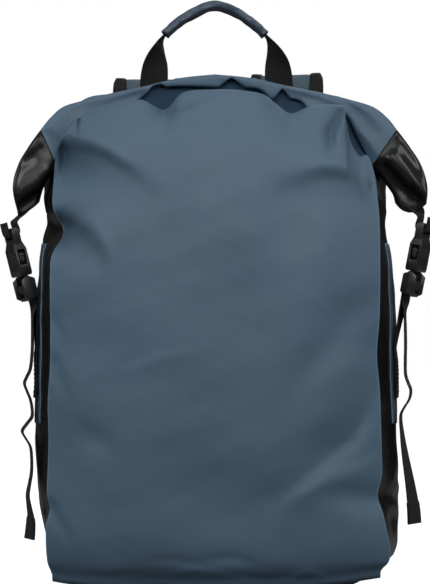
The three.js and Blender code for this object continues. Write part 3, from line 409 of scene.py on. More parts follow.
# Their tapered ends: which end, its length, and how its thickness and width shrink
TAPERS = {
    "plug": ((DOWN, 2, (1, 15 / 17)), (UP, 1, (0.9, 16 / 17))),
    "rail": ((DOWN, 2, (0.6, 0.8)), (UP, 1.9, (0.6, 0.8))),
    "guide": ((UP, 4, (0.5, 0.5)),),
    "socket": ((DOWN, 2, (0.88, 16 / 17)), (UP, 7, (0.7, 13 / 17))),
    "neck": ((DOWN, 6, (1, 13.8 / 15.5)), (UP, 2.5, (0.7, 13 / 15.5))),
    "lock": ((DOWN, 2, (0.8, 15 / 17)), (UP, 2, (0.8, 15 / 17))),
}
PRONG_STEPS = ((4, 16.4), (7, 16.4), (3.5, 12.2))  # rise, and how far out the prong then stands
RECESSES = {"socket": (3.2, 0.4, 0.8)}  # margin, slope and depth of the panels sunk into its broad faces
MOULD_RADIUS = {"plug": 0.7, "socket": 0.9, "lock": 0.7}
MOULD_SEGMENTS = 2
MOULD_ANGLE = math.radians(28)
SMOOTH_ANGLE = math.radians(32)
FACING = 0.9  # how squarely a face looks along an axis to count as facing it
NEAR = 1e-5

# Stitches: their length, pitch and thickness, and rings along one (share, thickness, height)
STITCH_LENGTH = 3.1
STITCH_PITCH = 3.9
STITCH_RADIUS = 0.36
STITCH_SIDES = 6
STITCH_RINGS = np.array([(0, 0.45, -0.3), (0.2, 1, 0.05), (0.8, 1, 0.05), (1, 0.45, -0.3)])

WEBBING_WIDTH = 25
WEBBING_THICK = 1.5
WEBBING_TOP = [-0.985, -0.95, -0.8, -0.5, -0.17, 0.17, 0.5, 0.8, 0.95, 0.985]
WEBBING_EDGE_POWER = 24  # how square a strap's edges are
RIB_STEPS = 4  # rings for each rib
SPLINE_STEPS = 40  # places between two stations
TANGENT_STEP = 0.1
SEWN_ROW = np.linspace(-0.84, 0.84, 24)
SEWN_BOX = np.linspace(-0.8, 0.8, 40)
PATCH_SHARES = (0.34, 0.75)
PATCH_EDGES = (0.33, 0.7)
PATCH_THICK = 0.8
PATCH_SINK = 0.2
SLEEVE_THICK = 1.4

# Uneven colour and shine: noise scale and detail, and the lowest and highest that it gives
MOTTLE = {
    "canvas_patches": (9, 3, 0.93, 1.07),
    "canvas_speckle": (260, 2, 0.965, 1.035),
    "canvas_shine": (34, 4, -0.06, 0.07),
    "yarn": (60, 3, 0.85, 1.15),
    "plastic": (90, 3, 0.85, 1.2),
    "plastic_shine": (240, 3, -0.07, 0.1),
    "cut_edge": (900, 2, 0.7, 1.3),
}
# Fine relief: noise scale and detail, strength, and height in metres
GRAIN = {
    "canvas": (700, 2, 0.12, 0.0004),
    "yarn": (1500, 2, 0.2, 0.0003),
    "plastic": (2600, 2, 0.16, 0.0002),
    "cut_edge": (1800, 2, 0.4, 0.0003),
}
CRUMPLE = (46, 3, 0.004)  # noise scale and detail, and height in metres
CANVAS_THREADS = (0.16, 0.0002)  # strength, and height in metres
YARN_THREADS = (0.5, 0.0004)
WAVE_SCALE = math.pi / 10  # of a wave texture with its bands one metre apart
YARN_WAVE = 0.6
YARN_TINT = (0.72, 1.25)
YARN_FUZZ = 0.6
YARN_SPECULAR = 0.2
EDGE_ROUGHNESS = 0.7
EDGE_SPECULAR = 0.3
COAT_ROUGHNESS = 0.16
WELD_TINT = 1.55
# Painted shade: the colour that it darkens the canvas to, as a share of its own colour, and how much duller
# it makes it
PAINTED_SHADE_TINT = (0.06, 0.2, 0.3)
CREASE_DULL = 0.35
PAD_PITCH = 0.0006
YARN_PITCH = 0.0009
# Colours of threads and cut edges that no setting holds
THREAD = (0.02, 0.02, 0.022)
BLACK_EDGE = (0.03, 0.03, 0.033)
# The canvas's reverse: its own colour, made darker as painted shade for where it shows inside the pockets
REVERSE_SHADE = (0.03, 0.062, 0.1)

# Camera: level, in front of the bag
CAMERA_DISTANCE = 2.5
CAMERA_HEIGHT = 0.262
CAMERA_LENS = 171.2
CAMERA_SENSOR = 36
# Lights, in metres: name, place, target, size, share of the key's power, and spread in degrees
LIGHTS = [
    ("key", (0, -1.4, 1.05), (0, 0, 0.29), (2.2, 0.7), 0.3, 66),
    ("back", (0.5, 1.7, 1.2), (0, 0, 0.3), (0.9, 0.9), 0.8, 180),
    ("top", (0, -0.05, 1.7), (0, 0, 0.4), (0.7, 0.7), 0.25, 180),
]
# Lights at each side, given for the right
SIDE_LIGHTS = [
    ("strip", (1.2, -1.0, 1.25), (0.1, 0, 0.35), (0.5, 0.5), 0.62, 180),
    ("rim", (1.7, 0.15, 1.0), (0.1, 0, 0.35), (0.5, 0.5), 0.35, 180),
]
WHITE = (1, 1, 1, 1)
FLOOR_RADIUS = 6
FLOOR_SIDES = 96
FLOOR_LEVEL = -0.0005
OVERHEAD = {"From Min": 0.05, "From Max": 0.8, "To Min": 0.1, "To Max": 1.0}  # how the sky brightens upwards
# What every colour setting shares
COLOUR = dict(subtype="COLOR", size=3, min=0, max=1)


class CanvasSettings(bpy.types.PropertyGroup):
    """The coated canvas of the panels."""

    blue: FloatVectorProperty(
        name="Blue", description="Colour of the blue canvas", default=(0.063, 0.114, 0.168), **COLOUR)
    black: FloatVectorProperty(
        name="Black", description="Colour of the gloss black canvas", default=(0.004, 0.004, 0.0048),
        **COLOUR)
    edge: FloatVectorProperty(
        name="Cut edge", description="Colour of the cloth's cut edge", default=(0.16, 0.2, 0.24), **COLOUR)
    thickness: FloatProperty(
        name="Thickness", description="Thickness of the canvas", subtype="DISTANCE", default=0.001,
        min=0.0003, max=0.0014)
    weave: FloatProperty(
        name="Weave", description="Width of one thread of the canvas under its coating", subtype="DISTANCE",
        default=0.0007, min=0.0002, max=0.003)


class WebbingSettings(bpy.types.PropertyGroup):
    """The woven straps."""

    colour: FloatVectorProperty(
        name="Webbing", description="Colour of the webbing", default=(0.0075, 0.007, 0.0078), **COLOUR)
    rib: FloatProperty(
        name="Rib", description="Distance between the webbing's ribs", subtype="DISTANCE", default=0.0013,
        min=0.0005, max=0.004)
    rib_height: FloatProperty(
        name="Rib height", description="How far a rib stands up", subtype="DISTANCE", default=0.00014, min=0,
        max=0.0005)


class PaddingSettings(bpy.types.PropertyGroup):
    """The padded straps and the handle's sleeve."""

    pad: FloatVectorProperty(
        name="Pad", description="Colour of the shoulder pads' cloth", default=(0.062, 0.102, 0.136), **COLOUR)
    sleeve: FloatVectorProperty(
        name="Sleeve", description="Colour of the handle's sleeve", default=(0.045, 0.068, 0.105), **COLOUR)
    crown: FloatProperty(
        name="Crown", description="How round the pads are, 0 for flat faces", subtype="FACTOR", default=0.55,
        min=0, max=1)


class HardwareSettings(bpy.types.PropertyGroup):
    """The buckles and ladder locks."""

    plastic: FloatVectorProperty(
        name="Plastic", description="Colour of the moulded plastic", default=(0.012, 0.012, 0.013), **COLOUR)
    roughness: FloatProperty(
        name="Roughness", description="Roughness of the plastic", subtype="FACTOR", default=0.36, min=0,
        max=1)


class StageSettings(bpy.types.PropertyGroup):
    """Floor and light."""

    floor: FloatVectorProperty(
        name="Floor", description="Colour of the floor", default=(0.22, 0.22, 0.22), **COLOUR)
    key: FloatProperty(
        name="Key light", description="Power of the large light above the front", subtype="POWER",
        default=11.8, min=0, max=500)
    fill: FloatProperty(
        name="Fill", description="Strength of the even light from overhead", subtype="FACTOR", default=0.16,
        min=0, max=3)


# Smooth values of tables

def bell(value):
    return np.exp(-value * value)


def lerp(low, high, t):
    return low + (high - low) * t


def smoothstep(value, low, high):
    t = np.clip((value - low) / (high - low), 0, 1)
    return t * t * (3 - 2 * t)


def squared(value, power):
    return np.sign(value) * np.abs(value) ** power


def unit(vectors):
    return vectors / np.maximum(np.linalg.norm(vectors, axis=-1, keepdims=True), TINY)


def column_at(rows, name, place, key=None):
    """A column's smooth value at a place along its key column, or along its row numbers."""
    values = rows[name]
    count = np.arange(len(values))
    at = rows[key] if key else count.astype(float)
    before, after = np.maximum(count - 1, 0), np.minimum(count + 1, len(values) - 1)
    slope = (values[after] - values[before]) / (at[after] - at[before])
    place = np.asarray(place, float)
    i = np.clip(np.searchsorted(at, place) - 1, 0, len(values) - 2)
    span = at[i + 1] - at[i]
    t = (place - at[i]) / span
    rise = values[i + 1] - values[i]
    bend = (1 - t) * slope[i] * span - t * slope[i + 1] * span
    return values[i] + t * rise + t * (1 - t) * (bend - (1 - 2 * t) * rise)


def held_at(rows, name, place, key="x"):
    """As column_at, with the first and last rows held beyond the table's ends."""
    return column_at(rows, name, np.clip(place, rows[key][0], rows[key][-1]), key)


def number_at(rows, name, place):
    return float(column_at(rows, name, place))


def ripple(u, v, wavelength, seed, waves=9):
    """A soft uneven relief between about -1 and 1, the same on every run."""
    draw = np.random.default_rng(int(seed))
    total = np.zeros(np.broadcast(u, v).shape)
    for _ in range(waves):
        angle = draw.uniform(0, 2 * math.pi)
        pitch = wavelength * draw.uniform(*RIPPLE_PITCH)
        phase = draw.uniform(0, 2 * math.pi)
        total += np.sin(2 * math.pi * (u * math.cos(angle) + v * math.sin(angle)) / pitch + phase)
    return total / (RIPPLE_RANGE * waves ** 0.5)


def relief(u, v, layers, level=0, shift=0):
    """Layers of ripples about a level; shift changes their seeds, so that like pieces differ."""
    return sum(row["height"] * (level + ripple(u * row["stretch"], v, row["wavelength"], row["seed"] + shift))
               for row in layers)


def softness(around, place, soft, shift=0):
    """How the thickness of a soft tube varies around it, at a place along it."""
    height, stretch_around, stretch_along, wavelength, seed = soft
    along = np.full(around.shape, place * stretch_along)
    return 1 + height * ripple(around * stretch_around, along, wavelength, seed + shift)


def stroke_depth(x, z, path, upper, lower, depth, ends):
    """How far a fold along a line presses in at each place."""
    nearest = np.full(np.shape(x), np.inf)
    below = np.zeros(np.shape(x))
    along = np.zeros(np.shape(x))
    count = len(path) - 1
    for i in range(count):
        (ax, az), (bx, bz) = path[i], path[i + 1]
        dx, dz = bx - ax, bz - az
        t = np.clip(((x - ax) * dx + (z - az) * dz) / (dx * dx + dz * dz), 0, 1)
        off_x, off_z = x - ax - t * dx, z - az - t * dz
        gap = np.hypot(off_x, off_z)
        turned = (off_x * dz - off_z * dx) / np.maximum(gap * math.hypot(dx, dz), TINY)
        closer = gap < nearest
        nearest = np.where(closer, gap, nearest)
        below = np.where(closer, turned, below)
        along = np.where(closer, (i + t) / count, along)
    strength = lerp(ends[0], ends[1], along) + (1 - max(ends)) * np.sin(math.pi * along)
    return depth * strength * bell(nearest / lerp(upper, lower, (1 + below) / 2))


def pressed_in(x, z, strokes):
    return sum(stroke_depth(x, z, **stroke) for stroke in strokes)


# The bag's surface, in millimetres

def wall(name, share):
    return held_at(WALL, name, share, "share")


def drawn_in(dents, side, z):
    return sum(np.where(side == dent["side"], dent["depth"] * bell((z - dent["z"]) / dent["reach"]), 0)
               for dent in dents)


def curl(share):
    """How far in and down the walls run under the bag, below share 0."""
    t = np.clip(-share / CURL_SHARE, 0, 1) * math.pi / 2
    return CURL_IN * (1 - np.cos(t)), CURL_DOWN * np.sin(t)


def front_point(across, share, folded=True):
    """A place on the front panel; across runs from -1 at the left weld to 1 at the right one."""
    side = np.where(across < 0, LEFT, RIGHT)
    reach = np.minimum(np.abs(across), 1)
    seam_z = wall("seamZ", share)
    x = across * (wall("seamX", share) - drawn_in(SEAM_DENTS, side, seam_z))
    z = lerp(wall("frontZ", share), seam_z, reach ** wall("archPower", share))
    y = lerp(wall("frontY", share), wall("frontSeamY", share), reach ** FRONT_ROUNDNESS)
    crest = smoothstep(share, CREST_START, CREST_TOP) * (1 - reach ** CREST_END_POWER)
    arch = lerp(wall("frontZ", CREST_TOP), wall("seamZ", CREST_TOP), reach ** wall("archPower", CREST_TOP))
    z = z - crest * (arch - held_at(CREST, "z", x))
    z = z + held_at(BOTTOM_EDGE, "lift", x) * (1 - smoothstep(share, 0, BOTTOM_SHARE))
    if folded:
        pressed = pressed_in(x, z, FRONT_FOLDS + FRONT_SLITS) + relief(x, z, FRONT_RIPPLES)
        corner = lerp(1, smoothstep(1 - reach, 0, FRONT_MARGIN), smoothstep(share, *FRONT_MARGIN_START))
        y = y + pressed * corner * (1 - smoothstep(share, *FOLDS_FADE))
    inward, down = curl(share)
    return np.stack([x, y + inward, z - down], axis=-1)


def front_painted_shade(points):
    """How much painted shade the deep creases get at points of the front panel, from 0 to 1."""
    x, z = points[..., 0], points[..., 2]
    slits = pressed_in(x, z, [{**slit, "depth": 1} for slit in FRONT_SLITS])
    valleys = pressed_in(x, z, [fold for fold in FRONT_FOLDS if fold["depth"] >= SHADED_FOLD_DEPTH])
    return np.clip(slits + FOLD_SHADE * valleys, 0, 1)


def weld_line(across):
    """Pale along the welds at both edges of a panel, as -1."""
    return -1.0 * (np.abs(across) > WELD_EDGE)


def back_point(across, share, folded=True):
    reach = np.minimum(np.abs(across), 1)
    x = across * wall("seamX", share)
    y = lerp(wall("backY", share), wall("backSeamY", share), reach ** BACK_ROUNDNESS)
    z = lerp(wall("backZ", share), wall("seamZ", share), reach ** wall("archPower", share))
    if folded:
        hollow = relief(x, z, BACK_RIPPLES, 1)
        y = y - hollow * (1 - smoothstep(share, *BACK_FADE)) * smoothstep(1 - reach, 0, BACK_MARGIN)
    inward, down = curl(share)
    return np.stack([x, y - inward, z - down], axis=-1)


def gusset_point(side, through, share, folded=True):
    """A place on a gusset; through runs from 0 at the front weld to 1 at the back one."""
    front = front_point(side * np.ones_like(through), share, folded)
    back = back_point(side * np.ones_like(through), share, folded)
    inner = np.clip(through, 0, 1)
    point = lerp(front, back, inner[..., None])
    y, z = point[..., 1], point[..., 2]
    half = wall("sideX", share) - drawn_in(GUSSET_DENTS, side, wall("seamZ", share))
    half = half - GUSSET_TUCK * (1 - smoothstep(share, 0, GUSSET_FOOT))
    bulge = np.sin(math.pi * inner ** lerp(GUSSET_PEAK, GUSSET_TOP_PEAK, smoothstep(share, *GUSSET_TOP)))
    if folded:
        hollow = relief(y, z, GUSSET_RIPPLES, 1, side)
        for crinkle in GUSSET_CRINKLES:
            if crinkle["side"] == side:
                near = bell((z - crinkle["z"]) / crinkle["reach"])
                creased = np.abs(ripple(y * CRINKLE_STRETCH, z, crinkle["pitch"], CRINKLE_SEED + side))
                hollow = hollow + crinkle["depth"] * near * creased
        half = half - hollow * smoothstep(np.minimum(inner, 1 - inner), *GUSSET_MARGIN)
    point[..., 0] = lerp(point[..., 0], side * half, bulge) - side * curl(share)[0]
    under_front = front_point(side * (1 + np.minimum(through, 0)), share, folded)
    under_back = back_point(side * (1 - np.maximum(through - 1, 0)), share, folded)
    point = np.where((through < 0)[..., None], under_front, point)
    return np.where((through > 1)[..., None], under_back, point)


def share_at_seam(z):
    shares = np.linspace(0, 1, SEAM_SEARCH)
    return np.interp(z, wall("seamZ", shares), shares)


# Meshes from grids of points

def grid(us, vs):
    return np.meshgrid(np.asarray(us, float), np.asarray(vs, float), indexing="ij")


def grid_normals(points):
    return unit(np.cross(np.gradient(points, axis=0), np.gradient(points, axis=1)))


def run_lengths(points):
    """Lengths along a line of points."""
    return np.append(0, np.cumsum(np.linalg.norm(np.diff(points, axis=0), axis=1)))


def along_line(at, lengths, rows):
    """Rows of values at other lengths along a line."""
    return np.stack([np.interp(at, lengths, column) for column in rows.T], axis=-1)


def grid_faces(rows, columns, closed=False):
    """Quads of a grid; closed joins the last column to the first."""
    i, j = np.meshgrid(np.arange(rows - 1), np.arange(columns if closed else columns - 1), indexing="ij")
    after = (j + 1) % columns
    corners = [i * columns + j, (i + 1) * columns + j, (i + 1) * columns + after, i * columns + after]
    return np.stack(corners, axis=-1).reshape(-1, 4).tolist()


def ring_faces(rows, columns):
    """Faces around rings of points, with both ends closed."""
    last = (rows - 1) * columns
    return grid_faces(rows, columns, True) + [list(range(columns))[::-1], list(range(last, last + columns))]


def put_in_scene(piece):
    bpy.context.scene.collection.objects.link(piece)
    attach(piece, "root")


def new_piece(name, vertices, faces, uvs, looks):
    """A mesh object at the origin that rides on the bag. uvs has one row for each vertex, in metres.

    Its materials are its looks, in order.
    """
    mesh = bpy.data.meshes.new(name)
    mesh.from_pydata((np.asarray(vertices) * MM).tolist(), [], faces)
    layer = mesh.uv_layers.new(name="UVMap")
    corners = np.empty(len(mesh.loops), np.int32)
    mesh.loops.foreach_get("vertex_index", corners)
    layer.data.foreach_set("uv", np.asarray(uvs, np.float32)[corners].ravel())
    for look in looks:
        mesh.materials.append(finish(look))
    mesh.polygons.foreach_set("use_smooth", np.ones(len(mesh.polygons), bool))
    mesh.update()
    piece = bpy.data.objects.new(name, mesh)
    put_in_scene(piece)
    return piece


def cloth_piece(name, points, outside, looks, thickness, lift=0, painted_shade_and_weld=None):
    """A sheet of cloth along a grid, its face lift millimetres out from it, its thickness behind.

    outside is the way that the middle of its face looks, or None for a grid that faces outwards.
    painted_shade_and_weld is its painted shade in creases and pockets, above 0, and its pale welds, below 0.
    Its second look is its edge and its third its reverse.
    """
    rows, columns = points.shape[:2]
    painted_shade_and_weld = np.zeros((rows, columns)) if painted_shade_and_weld is None else painted_shade_and_weld
    normals = grid_normals(points)
    if outside is not None and np.dot(normals[rows // 2, columns // 2], outside) < 0:
        points, painted_shade_and_weld, normals = points[::-1], painted_shade_and_weld[::-1], -normals[::-1]
    points = points + normals * lift
    u, v = run_lengths(points[:, columns // 2]), run_lengths(points[rows // 2])
    uvs = np.stack(grid(u * MM, v * MM), axis=-1).reshape(-1, 2)
    piece = new_piece(name, points.reshape(-1, 3), grid_faces(rows, columns), uvs, looks)
    shade = piece.data.attributes.new("painted_shade_and_weld", "FLOAT", "POINT")
    shade.data.foreach_set("value", painted_shade_and_weld.astype(np.float32).ravel())
    made = piece.modifiers.new("Thickness", "SOLIDIFY")
    made.thickness = thickness
    made.offset = -1
    made.use_even_offset = True
    made.material_offset_rim = min(1, len(looks) - 1)
    made.material_offset = min(2, len(looks) - 1)
    return piece


def ring_piece(name, rings, u, v, look):
    """A closed piece through rings of points; u and v are its map around and along it, in millimetres."""
    rows, columns = rings.shape[:2]
    uvs = np.stack([np.tile(u * MM, rows), np.repeat(v * MM, columns)], axis=1)
    piece = new_piece(name, rings.reshape(-1, 3), ring_faces(rows, columns), uvs, [look])
    turn_outwards(piece)
    return piece


def turn_outwards(piece):
    """Turns a closed mesh's faces outwards."""
    mesh = piece.data
    mesh.calc_loop_triangles()
    corners = np.array([v.co for v in mesh.vertices])
    a, b, c = corners[np.array([t.vertices for t in mesh.loop_triangles]).T]
    if np.sum(a * np.cross(b, c)) < 0:
        mesh.flip_normals()


# Straps and their stitching

def spline(points, step, extra):
    """Even steps along a smooth line through points, with other values carried along."""
    columns = [np.reshape(values, (len(points), -1)) for values in (points, *extra)]
    data = np.concatenate(columns, axis=1, dtype=float)
    gaps = np.linalg.norm(np.diff(data[:, :3], axis=0), axis=1)
    at = np.append(0, np.cumsum(np.maximum(gaps, TINY) ** 0.5))
    fine = steps(0, *((end, SPLINE_STEPS + 1) for end in at[1:]))
    curve = np.stack([column_at({"at": at, "is": values}, "is", fine, "at") for values in data.T], axis=1)
    length = run_lengths(curve[:, :3])
    even = np.linspace(0, length[-1], max(2, int(round(length[-1] / step)) + 1))
    return along_line(even, length, curve), even


def strap_piece(name, replaced, stations, hem=0):
    """A woven strap along stations of (point, widthways, width), with ribs across it.

    hem is the length folded double at its far end. Returns the strap's run, for stitching.
    """
    settings = bpy.context.scene.backpack_webbing
    rib, rib_height = settings.rib / MM, settings.rib_height / MM
    points, across, widths = zip(*stations)
    line, length = spline(points, rib / RIB_STEPS, (across, widths))
    middle, sideways, width = line[:, :3], unit(line[:, 3:6]), line[:, 6]
    facing = unit(np.cross(np.gradient(middle, axis=0), sideways))
    half = WEBBING_THICK / 2 - rib_height + rib_height * np.cos(2 * math.pi * length / rib)
    if hem:
        half = half + WEBBING_THICK / 2 * smoothstep(length, length[-1] - hem - 1, length[-1] - hem)
    top = [(u, (1 - abs(u) ** WEBBING_EDGE_POWER) ** 0.5) for u in WEBBING_TOP]
    section = [(-1, 0)] + top + [(1, 0)] + [(u, -h) for u, h in reversed(top)]
    rings = np.stack([middle + sideways * (u * width / 2)[:, None] + facing * (h * half)[:, None]
                      for u, h in section], axis=1)
    around = np.array([u for u, _ in section]) * WEBBING_WIDTH / 2
    piece = ring_piece(name, rings, around, length, "webbing_black")
    total = float(length[-1])
    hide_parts(replaced)
    return dict(middle=middle, sideways=sideways * (width / 2)[:, None], facing=facing * half[:, None],
                length=length, total=total)


def on_strap(run, lengths, across, outside):
    """Places on the strap's outside face, by length along it and share across it, and the way they look."""
    middle, sideways, facing = (along_line(lengths, run["length"], run[name])
                                for name in ("middle", "sideways", "facing"))
    if np.sum(facing @ np.asarray(outside, float)) < 0:
        facing = -facing
    return middle + sideways * across[:, None] + facing, unit(facing)


def sewn_rows(run, lengths, outside):
    """Rows of stitches across a strap."""
    return [on_strap(run, np.full(len(SEWN_ROW), at), SEWN_ROW, outside) for at in lengths]


def sewn_box(run, start, stop, outside):
    """A box of stitches with a cross in it."""
    along = np.linspace(start, stop, len(SEWN_BOX))
    edge = np.full(len(SEWN_BOX), SEWN_BOX[-1])
    crossing = [on_strap(run, along, share, outside) for share in (-edge, edge, SEWN_BOX, -SEWN_BOX)]
    return sewn_rows(run, (start, stop), outside) + crossing


def stitches(name, lines):
    """Thread along lines of (places, facing), one small rounded stitch after another."""
    made = []
    turn = np.arange(STITCH_SIDES) * 2 * math.pi / STITCH_SIDES
    share, thickness, height = STITCH_RINGS.T
    for places, facing in lines:
        length = run_lengths(places)
        starts = np.arange(0, max(length[-1] - STITCH_LENGTH, TINY), STITCH_PITCH)
        ends = share * STITCH_LENGTH + starts[:, None]
        at, up = along_line(ends, length, places), along_line(ends, length, facing)
        side = unit(np.cross(at[:, -1:] - at[:, :1], up))
        round_it = np.cos(turn)[:, None] * side[:, :, None] + np.sin(turn)[:, None] * up[:, :, None]
        middle = (at + up * height[:, None])[:, :, None]
        made.append(middle + thickness[:, None, None] * STITCH_RADIUS * round_it)
    rings = np.concatenate(made)
    count = rings.shape[1] * STITCH_SIDES
    shape = ring_faces(rings.shape[1], STITCH_SIDES)
    faces = [[corner + i * count for corner in face] for i in range(len(rings)) for face in shape]
    vertices = rings.reshape(-1, 3)
    piece = new_piece(name, vertices, faces, np.zeros((len(vertices), 2)), ["thread"])
    turn_outwards(piece)


# Moulded pieces, modelled in millimetres about their own middle

def block(name, mirror=RIGHT):
    """A block of the table with its ends, on the other side of the middle where mirror is LEFT."""
    low, high = np.array(BLOCKS[name], float) * MM
    if mirror == LEFT:
        low[1], high[1] = -high[1], -low[1]
    bpy.ops.object.select_all(action="DESELECT")
    bpy.ops.mesh.primitive_cube_add(size=1, location=(low + high) / 2)
    made = bpy.context.object
    made.name = name
    made.scale = high - low
    bpy.ops.object.transform_apply(location=True, rotation=False, scale=True)
    if name in RECESSES:
        recess(made, *RECESSES[name])
    for way, length, scale in TAPERS.get(name, ()):
        extrude_end(made, way, length, scale)
    return made


def choose(model):
    bpy.ops.object.select_all(action="DESELECT")
    model.select_set(True)
    bpy.context.view_layer.objects.active = model


def in_edit(model, kind, wanted):
    """Opens a model for editing with only the wanted faces or corners selected."""
    choose(model)
    bpy.ops.object.mode_set(mode="EDIT")
    bpy.ops.mesh.select_mode(type=kind)
    bpy.ops.mesh.select_all(action="DESELECT")
    bpy.ops.object.mode_set(mode="OBJECT")
    for part in (model.data.polygons if kind == "FACE" else model.data.vertices):
        part.select = wanted(part)
    bpy.ops.object.mode_set(mode="EDIT")


def extrude_end(model, way, length, scale=(1, 1)):
    """Draws the topmost or lowest face out by a length, and scales its thickness and width."""
    end = max(way * face.center.z for face in model.data.polygons)
    in_edit(model, "FACE", lambda face: face.normal.z * way > FACING and way * face.center.z > end - NEAR)
    bpy.ops.mesh.extrude_region_move(TRANSFORM_OT_translate={"value": (0, 0, way * length * MM)})
    bpy.ops.transform.resize(value=(*scale, 1))
    bpy.ops.object.mode_set(mode="OBJECT")


def spread_end(model, side, outer):
    """Moves the outer corners of a model's upper end to a distance from the middle."""
    end = max(corner.co.z for corner in model.data.vertices)
    edge = max(corner.co.y * side for corner in model.data.vertices if corner.co.z > end - NEAR)
    in_edit(model, "VERT", lambda corner: corner.co.z > end - NEAR and corner.co.y * side > edge - NEAR)
    bpy.ops.transform.translate(value=(0, side * (outer * MM - edge), 0))
    bpy.ops.object.mode_set(mode="OBJECT")


def recess(model, margin, slope, depth):
    """Sinks a panel into both broad faces."""
    in_edit(model, "FACE", lambda face: abs(face.normal.x) > FACING)
    bpy.ops.mesh.inset(thickness=margin * MM, depth=0)
    bpy.ops.mesh.inset(thickness=slope * MM, depth=-depth * MM)
    bpy.ops.object.mode_set(mode="OBJECT")


def apply_modifier(model, modifier):
    choose(model)
    bpy.ops.object.modifier_apply(modifier=modifier.name)


def combine(model, other, operation):
    made = model.modifiers.new("Combined", "BOOLEAN")
    made.operation = operation
    made.object = other
    made.solver = "EXACT"
    apply_modifier(model, made)
    bpy.data.objects.remove(other)


def join(model, other):
    combine(model, other, "UNION")


def cut(model, other):
    combine(model, other, "DIFFERENCE")


def moulded(model, radius):
    """Rounds a model's edges as a mould does."""
    rounded = model.modifiers.new("Rounded", "BEVEL")
    rounded.width = radius * MM
    rounded.segments = MOULD_SEGMENTS
    rounded.limit_method = "ANGLE"
    rounded.angle_limit = MOULD_ANGLE
    apply_modifier(model, rounded)
    bpy.ops.object.shade_smooth_by_angle(angle=SMOOTH_ANGLE)
    return model


# Materials

def node(tree, kind, links=None, **values):
    made = tree.nodes.new("ShaderNode" + kind)
    for name, value in values.items():
        setattr(made, name, value)
    for socket, source in (links or {}).items():
        if isinstance(source, bpy.types.NodeSocket):
            tree.links.new(source, made.inputs[socket])
        else:
            made.inputs[socket].default_value = source
    return made


def cleared(owner):
    """The empty node tree of a material or world."""
    owner.use_nodes = True
    owner.node_tree.nodes.clear()
    return owner.node_tree


def new_material(name, values):
    """A principled material with values for its sockets; returns it, its node tree and its shader."""
    material = bpy.data.materials.new(name)
    material.use_nodes = True
    shader = material.node_tree.nodes["Principled BSDF"]
    for socket, value in values.items():
        shader.inputs[socket].default_value = value
    return material, material.node_tree, shader


def noise(tree, scale, detail):
    where = node(tree, "TexCoord").outputs["Object"]
    return node(tree, "TexNoise", {"Vector": where, "Scale": scale, "Detail": detail}).outputs["Fac"]


def waves(tree, pitch, direction, distortion=0.0):
    """Bands along the piece's own map, pitch metres apart."""
    where = node(tree, "TexCoord").outputs["UV"]
    return node(tree, "TexWave", {"Vector": where, "Scale": WAVE_SCALE / pitch, "Distortion": distortion},
                bands_direction=direction).outputs["Fac"]


def mapped(tree, value, low, high):
    return node(tree, "MapRange", {"Value": value, "To Min": low, "To Max": high}).outputs["Result"]


def mottle(tree, name, base=0):
    """An uneven value about a base, by its row of the table."""
    scale, detail, low, high = MOTTLE[name]
    return mapped(tree, noise(tree, scale, detail), base + low, base + high)


def grain(tree, name):
    """A layer of fine relief, by its row of the table."""
    scale, detail, strength, distance = GRAIN[name]
    return noise(tree, scale, detail), strength, distance


def math_of(tree, operation, a, b):
    return node(tree, "Math", {0: a, 1: b}, operation=operation).outputs["Value"]


def mixed(tree, factor, a, b, blend="MIX"):
    return node(tree, "Mix", {0: factor, 6: a, 7: b}, data_type="RGBA", blend_type=blend).outputs[2]


def tinted(tree, colour, factor):
    """A colour made lighter or darker by a factor."""
    grey = node(tree, "CombineColor", {"Red": factor, "Green": factor, "Blue": factor}).outputs["Color"]
    return mixed(tree, 1, (*colour, 1), grey, "MULTIPLY")


def bumped(tree, shader, layers):
    """Bump from layers of (height, strength, distance in metres), coarse to fine."""
    normal = None
    for height, strength, distance in layers:
        links = {"Height": height, "Strength": strength, "Distance": distance}
        if normal:
            links["Normal"] = normal
        normal = node(tree, "Bump", links).outputs["Normal"]
    tree.links.new(normal, shader.inputs["Normal"])


def canvas_material(name, colour, weave, roughness, specular, gloss, crumple, creased=True):
    """Coated canvas: weave under a coating, uneven gloss, and painted shade in its creases, which also makes
    them duller.
    """
    material, tree, shader = new_material(name, {
        "Specular IOR Level": specular, "Coat Weight": gloss, "Coat Roughness": COAT_ROUGHNESS})
    factor = math_of(tree, "MULTIPLY", mottle(tree, "canvas_patches"), mottle(tree, "canvas_speckle"))
    shine = mottle(tree, "canvas_shine", roughness)
    # With creased, the attribute paints shade: it darkens the colour toward the tint and dulls it in creases,
    # pockets and dull zones, and pales it along welds.
    if creased:
        painted_shade_and_weld = node(tree, "Attribute", attribute_name="painted_shade_and_weld").outputs["Fac"]
        pale = mapped(tree, math_of(tree, "MULTIPLY", painted_shade_and_weld, -1), 1, WELD_TINT)
        lighter = tinted(tree, colour, math_of(tree, "MULTIPLY", factor, pale))
        shown = mixed(tree, painted_shade_and_weld, lighter, [*np.multiply(colour, PAINTED_SHADE_TINT), 1])
        shine = math_of(tree, "ADD", shine, mapped(tree, painted_shade_and_weld, 0, CREASE_DULL))
    else:
        shown = tinted(tree, colour, factor)
    tree.links.new(shown, shader.inputs["Base Color"])
    tree.links.new(shine, shader.inputs["Roughness"])
    threads = math_of(tree, "MULTIPLY", waves(tree, weave, "X"), waves(tree, weave, "Y"))
    scale, detail, height = CRUMPLE
    bumped(tree, shader, [(noise(tree, scale, detail), crumple, height), grain(tree, "canvas"),
                          (threads, *CANVAS_THREADS)])
    return material


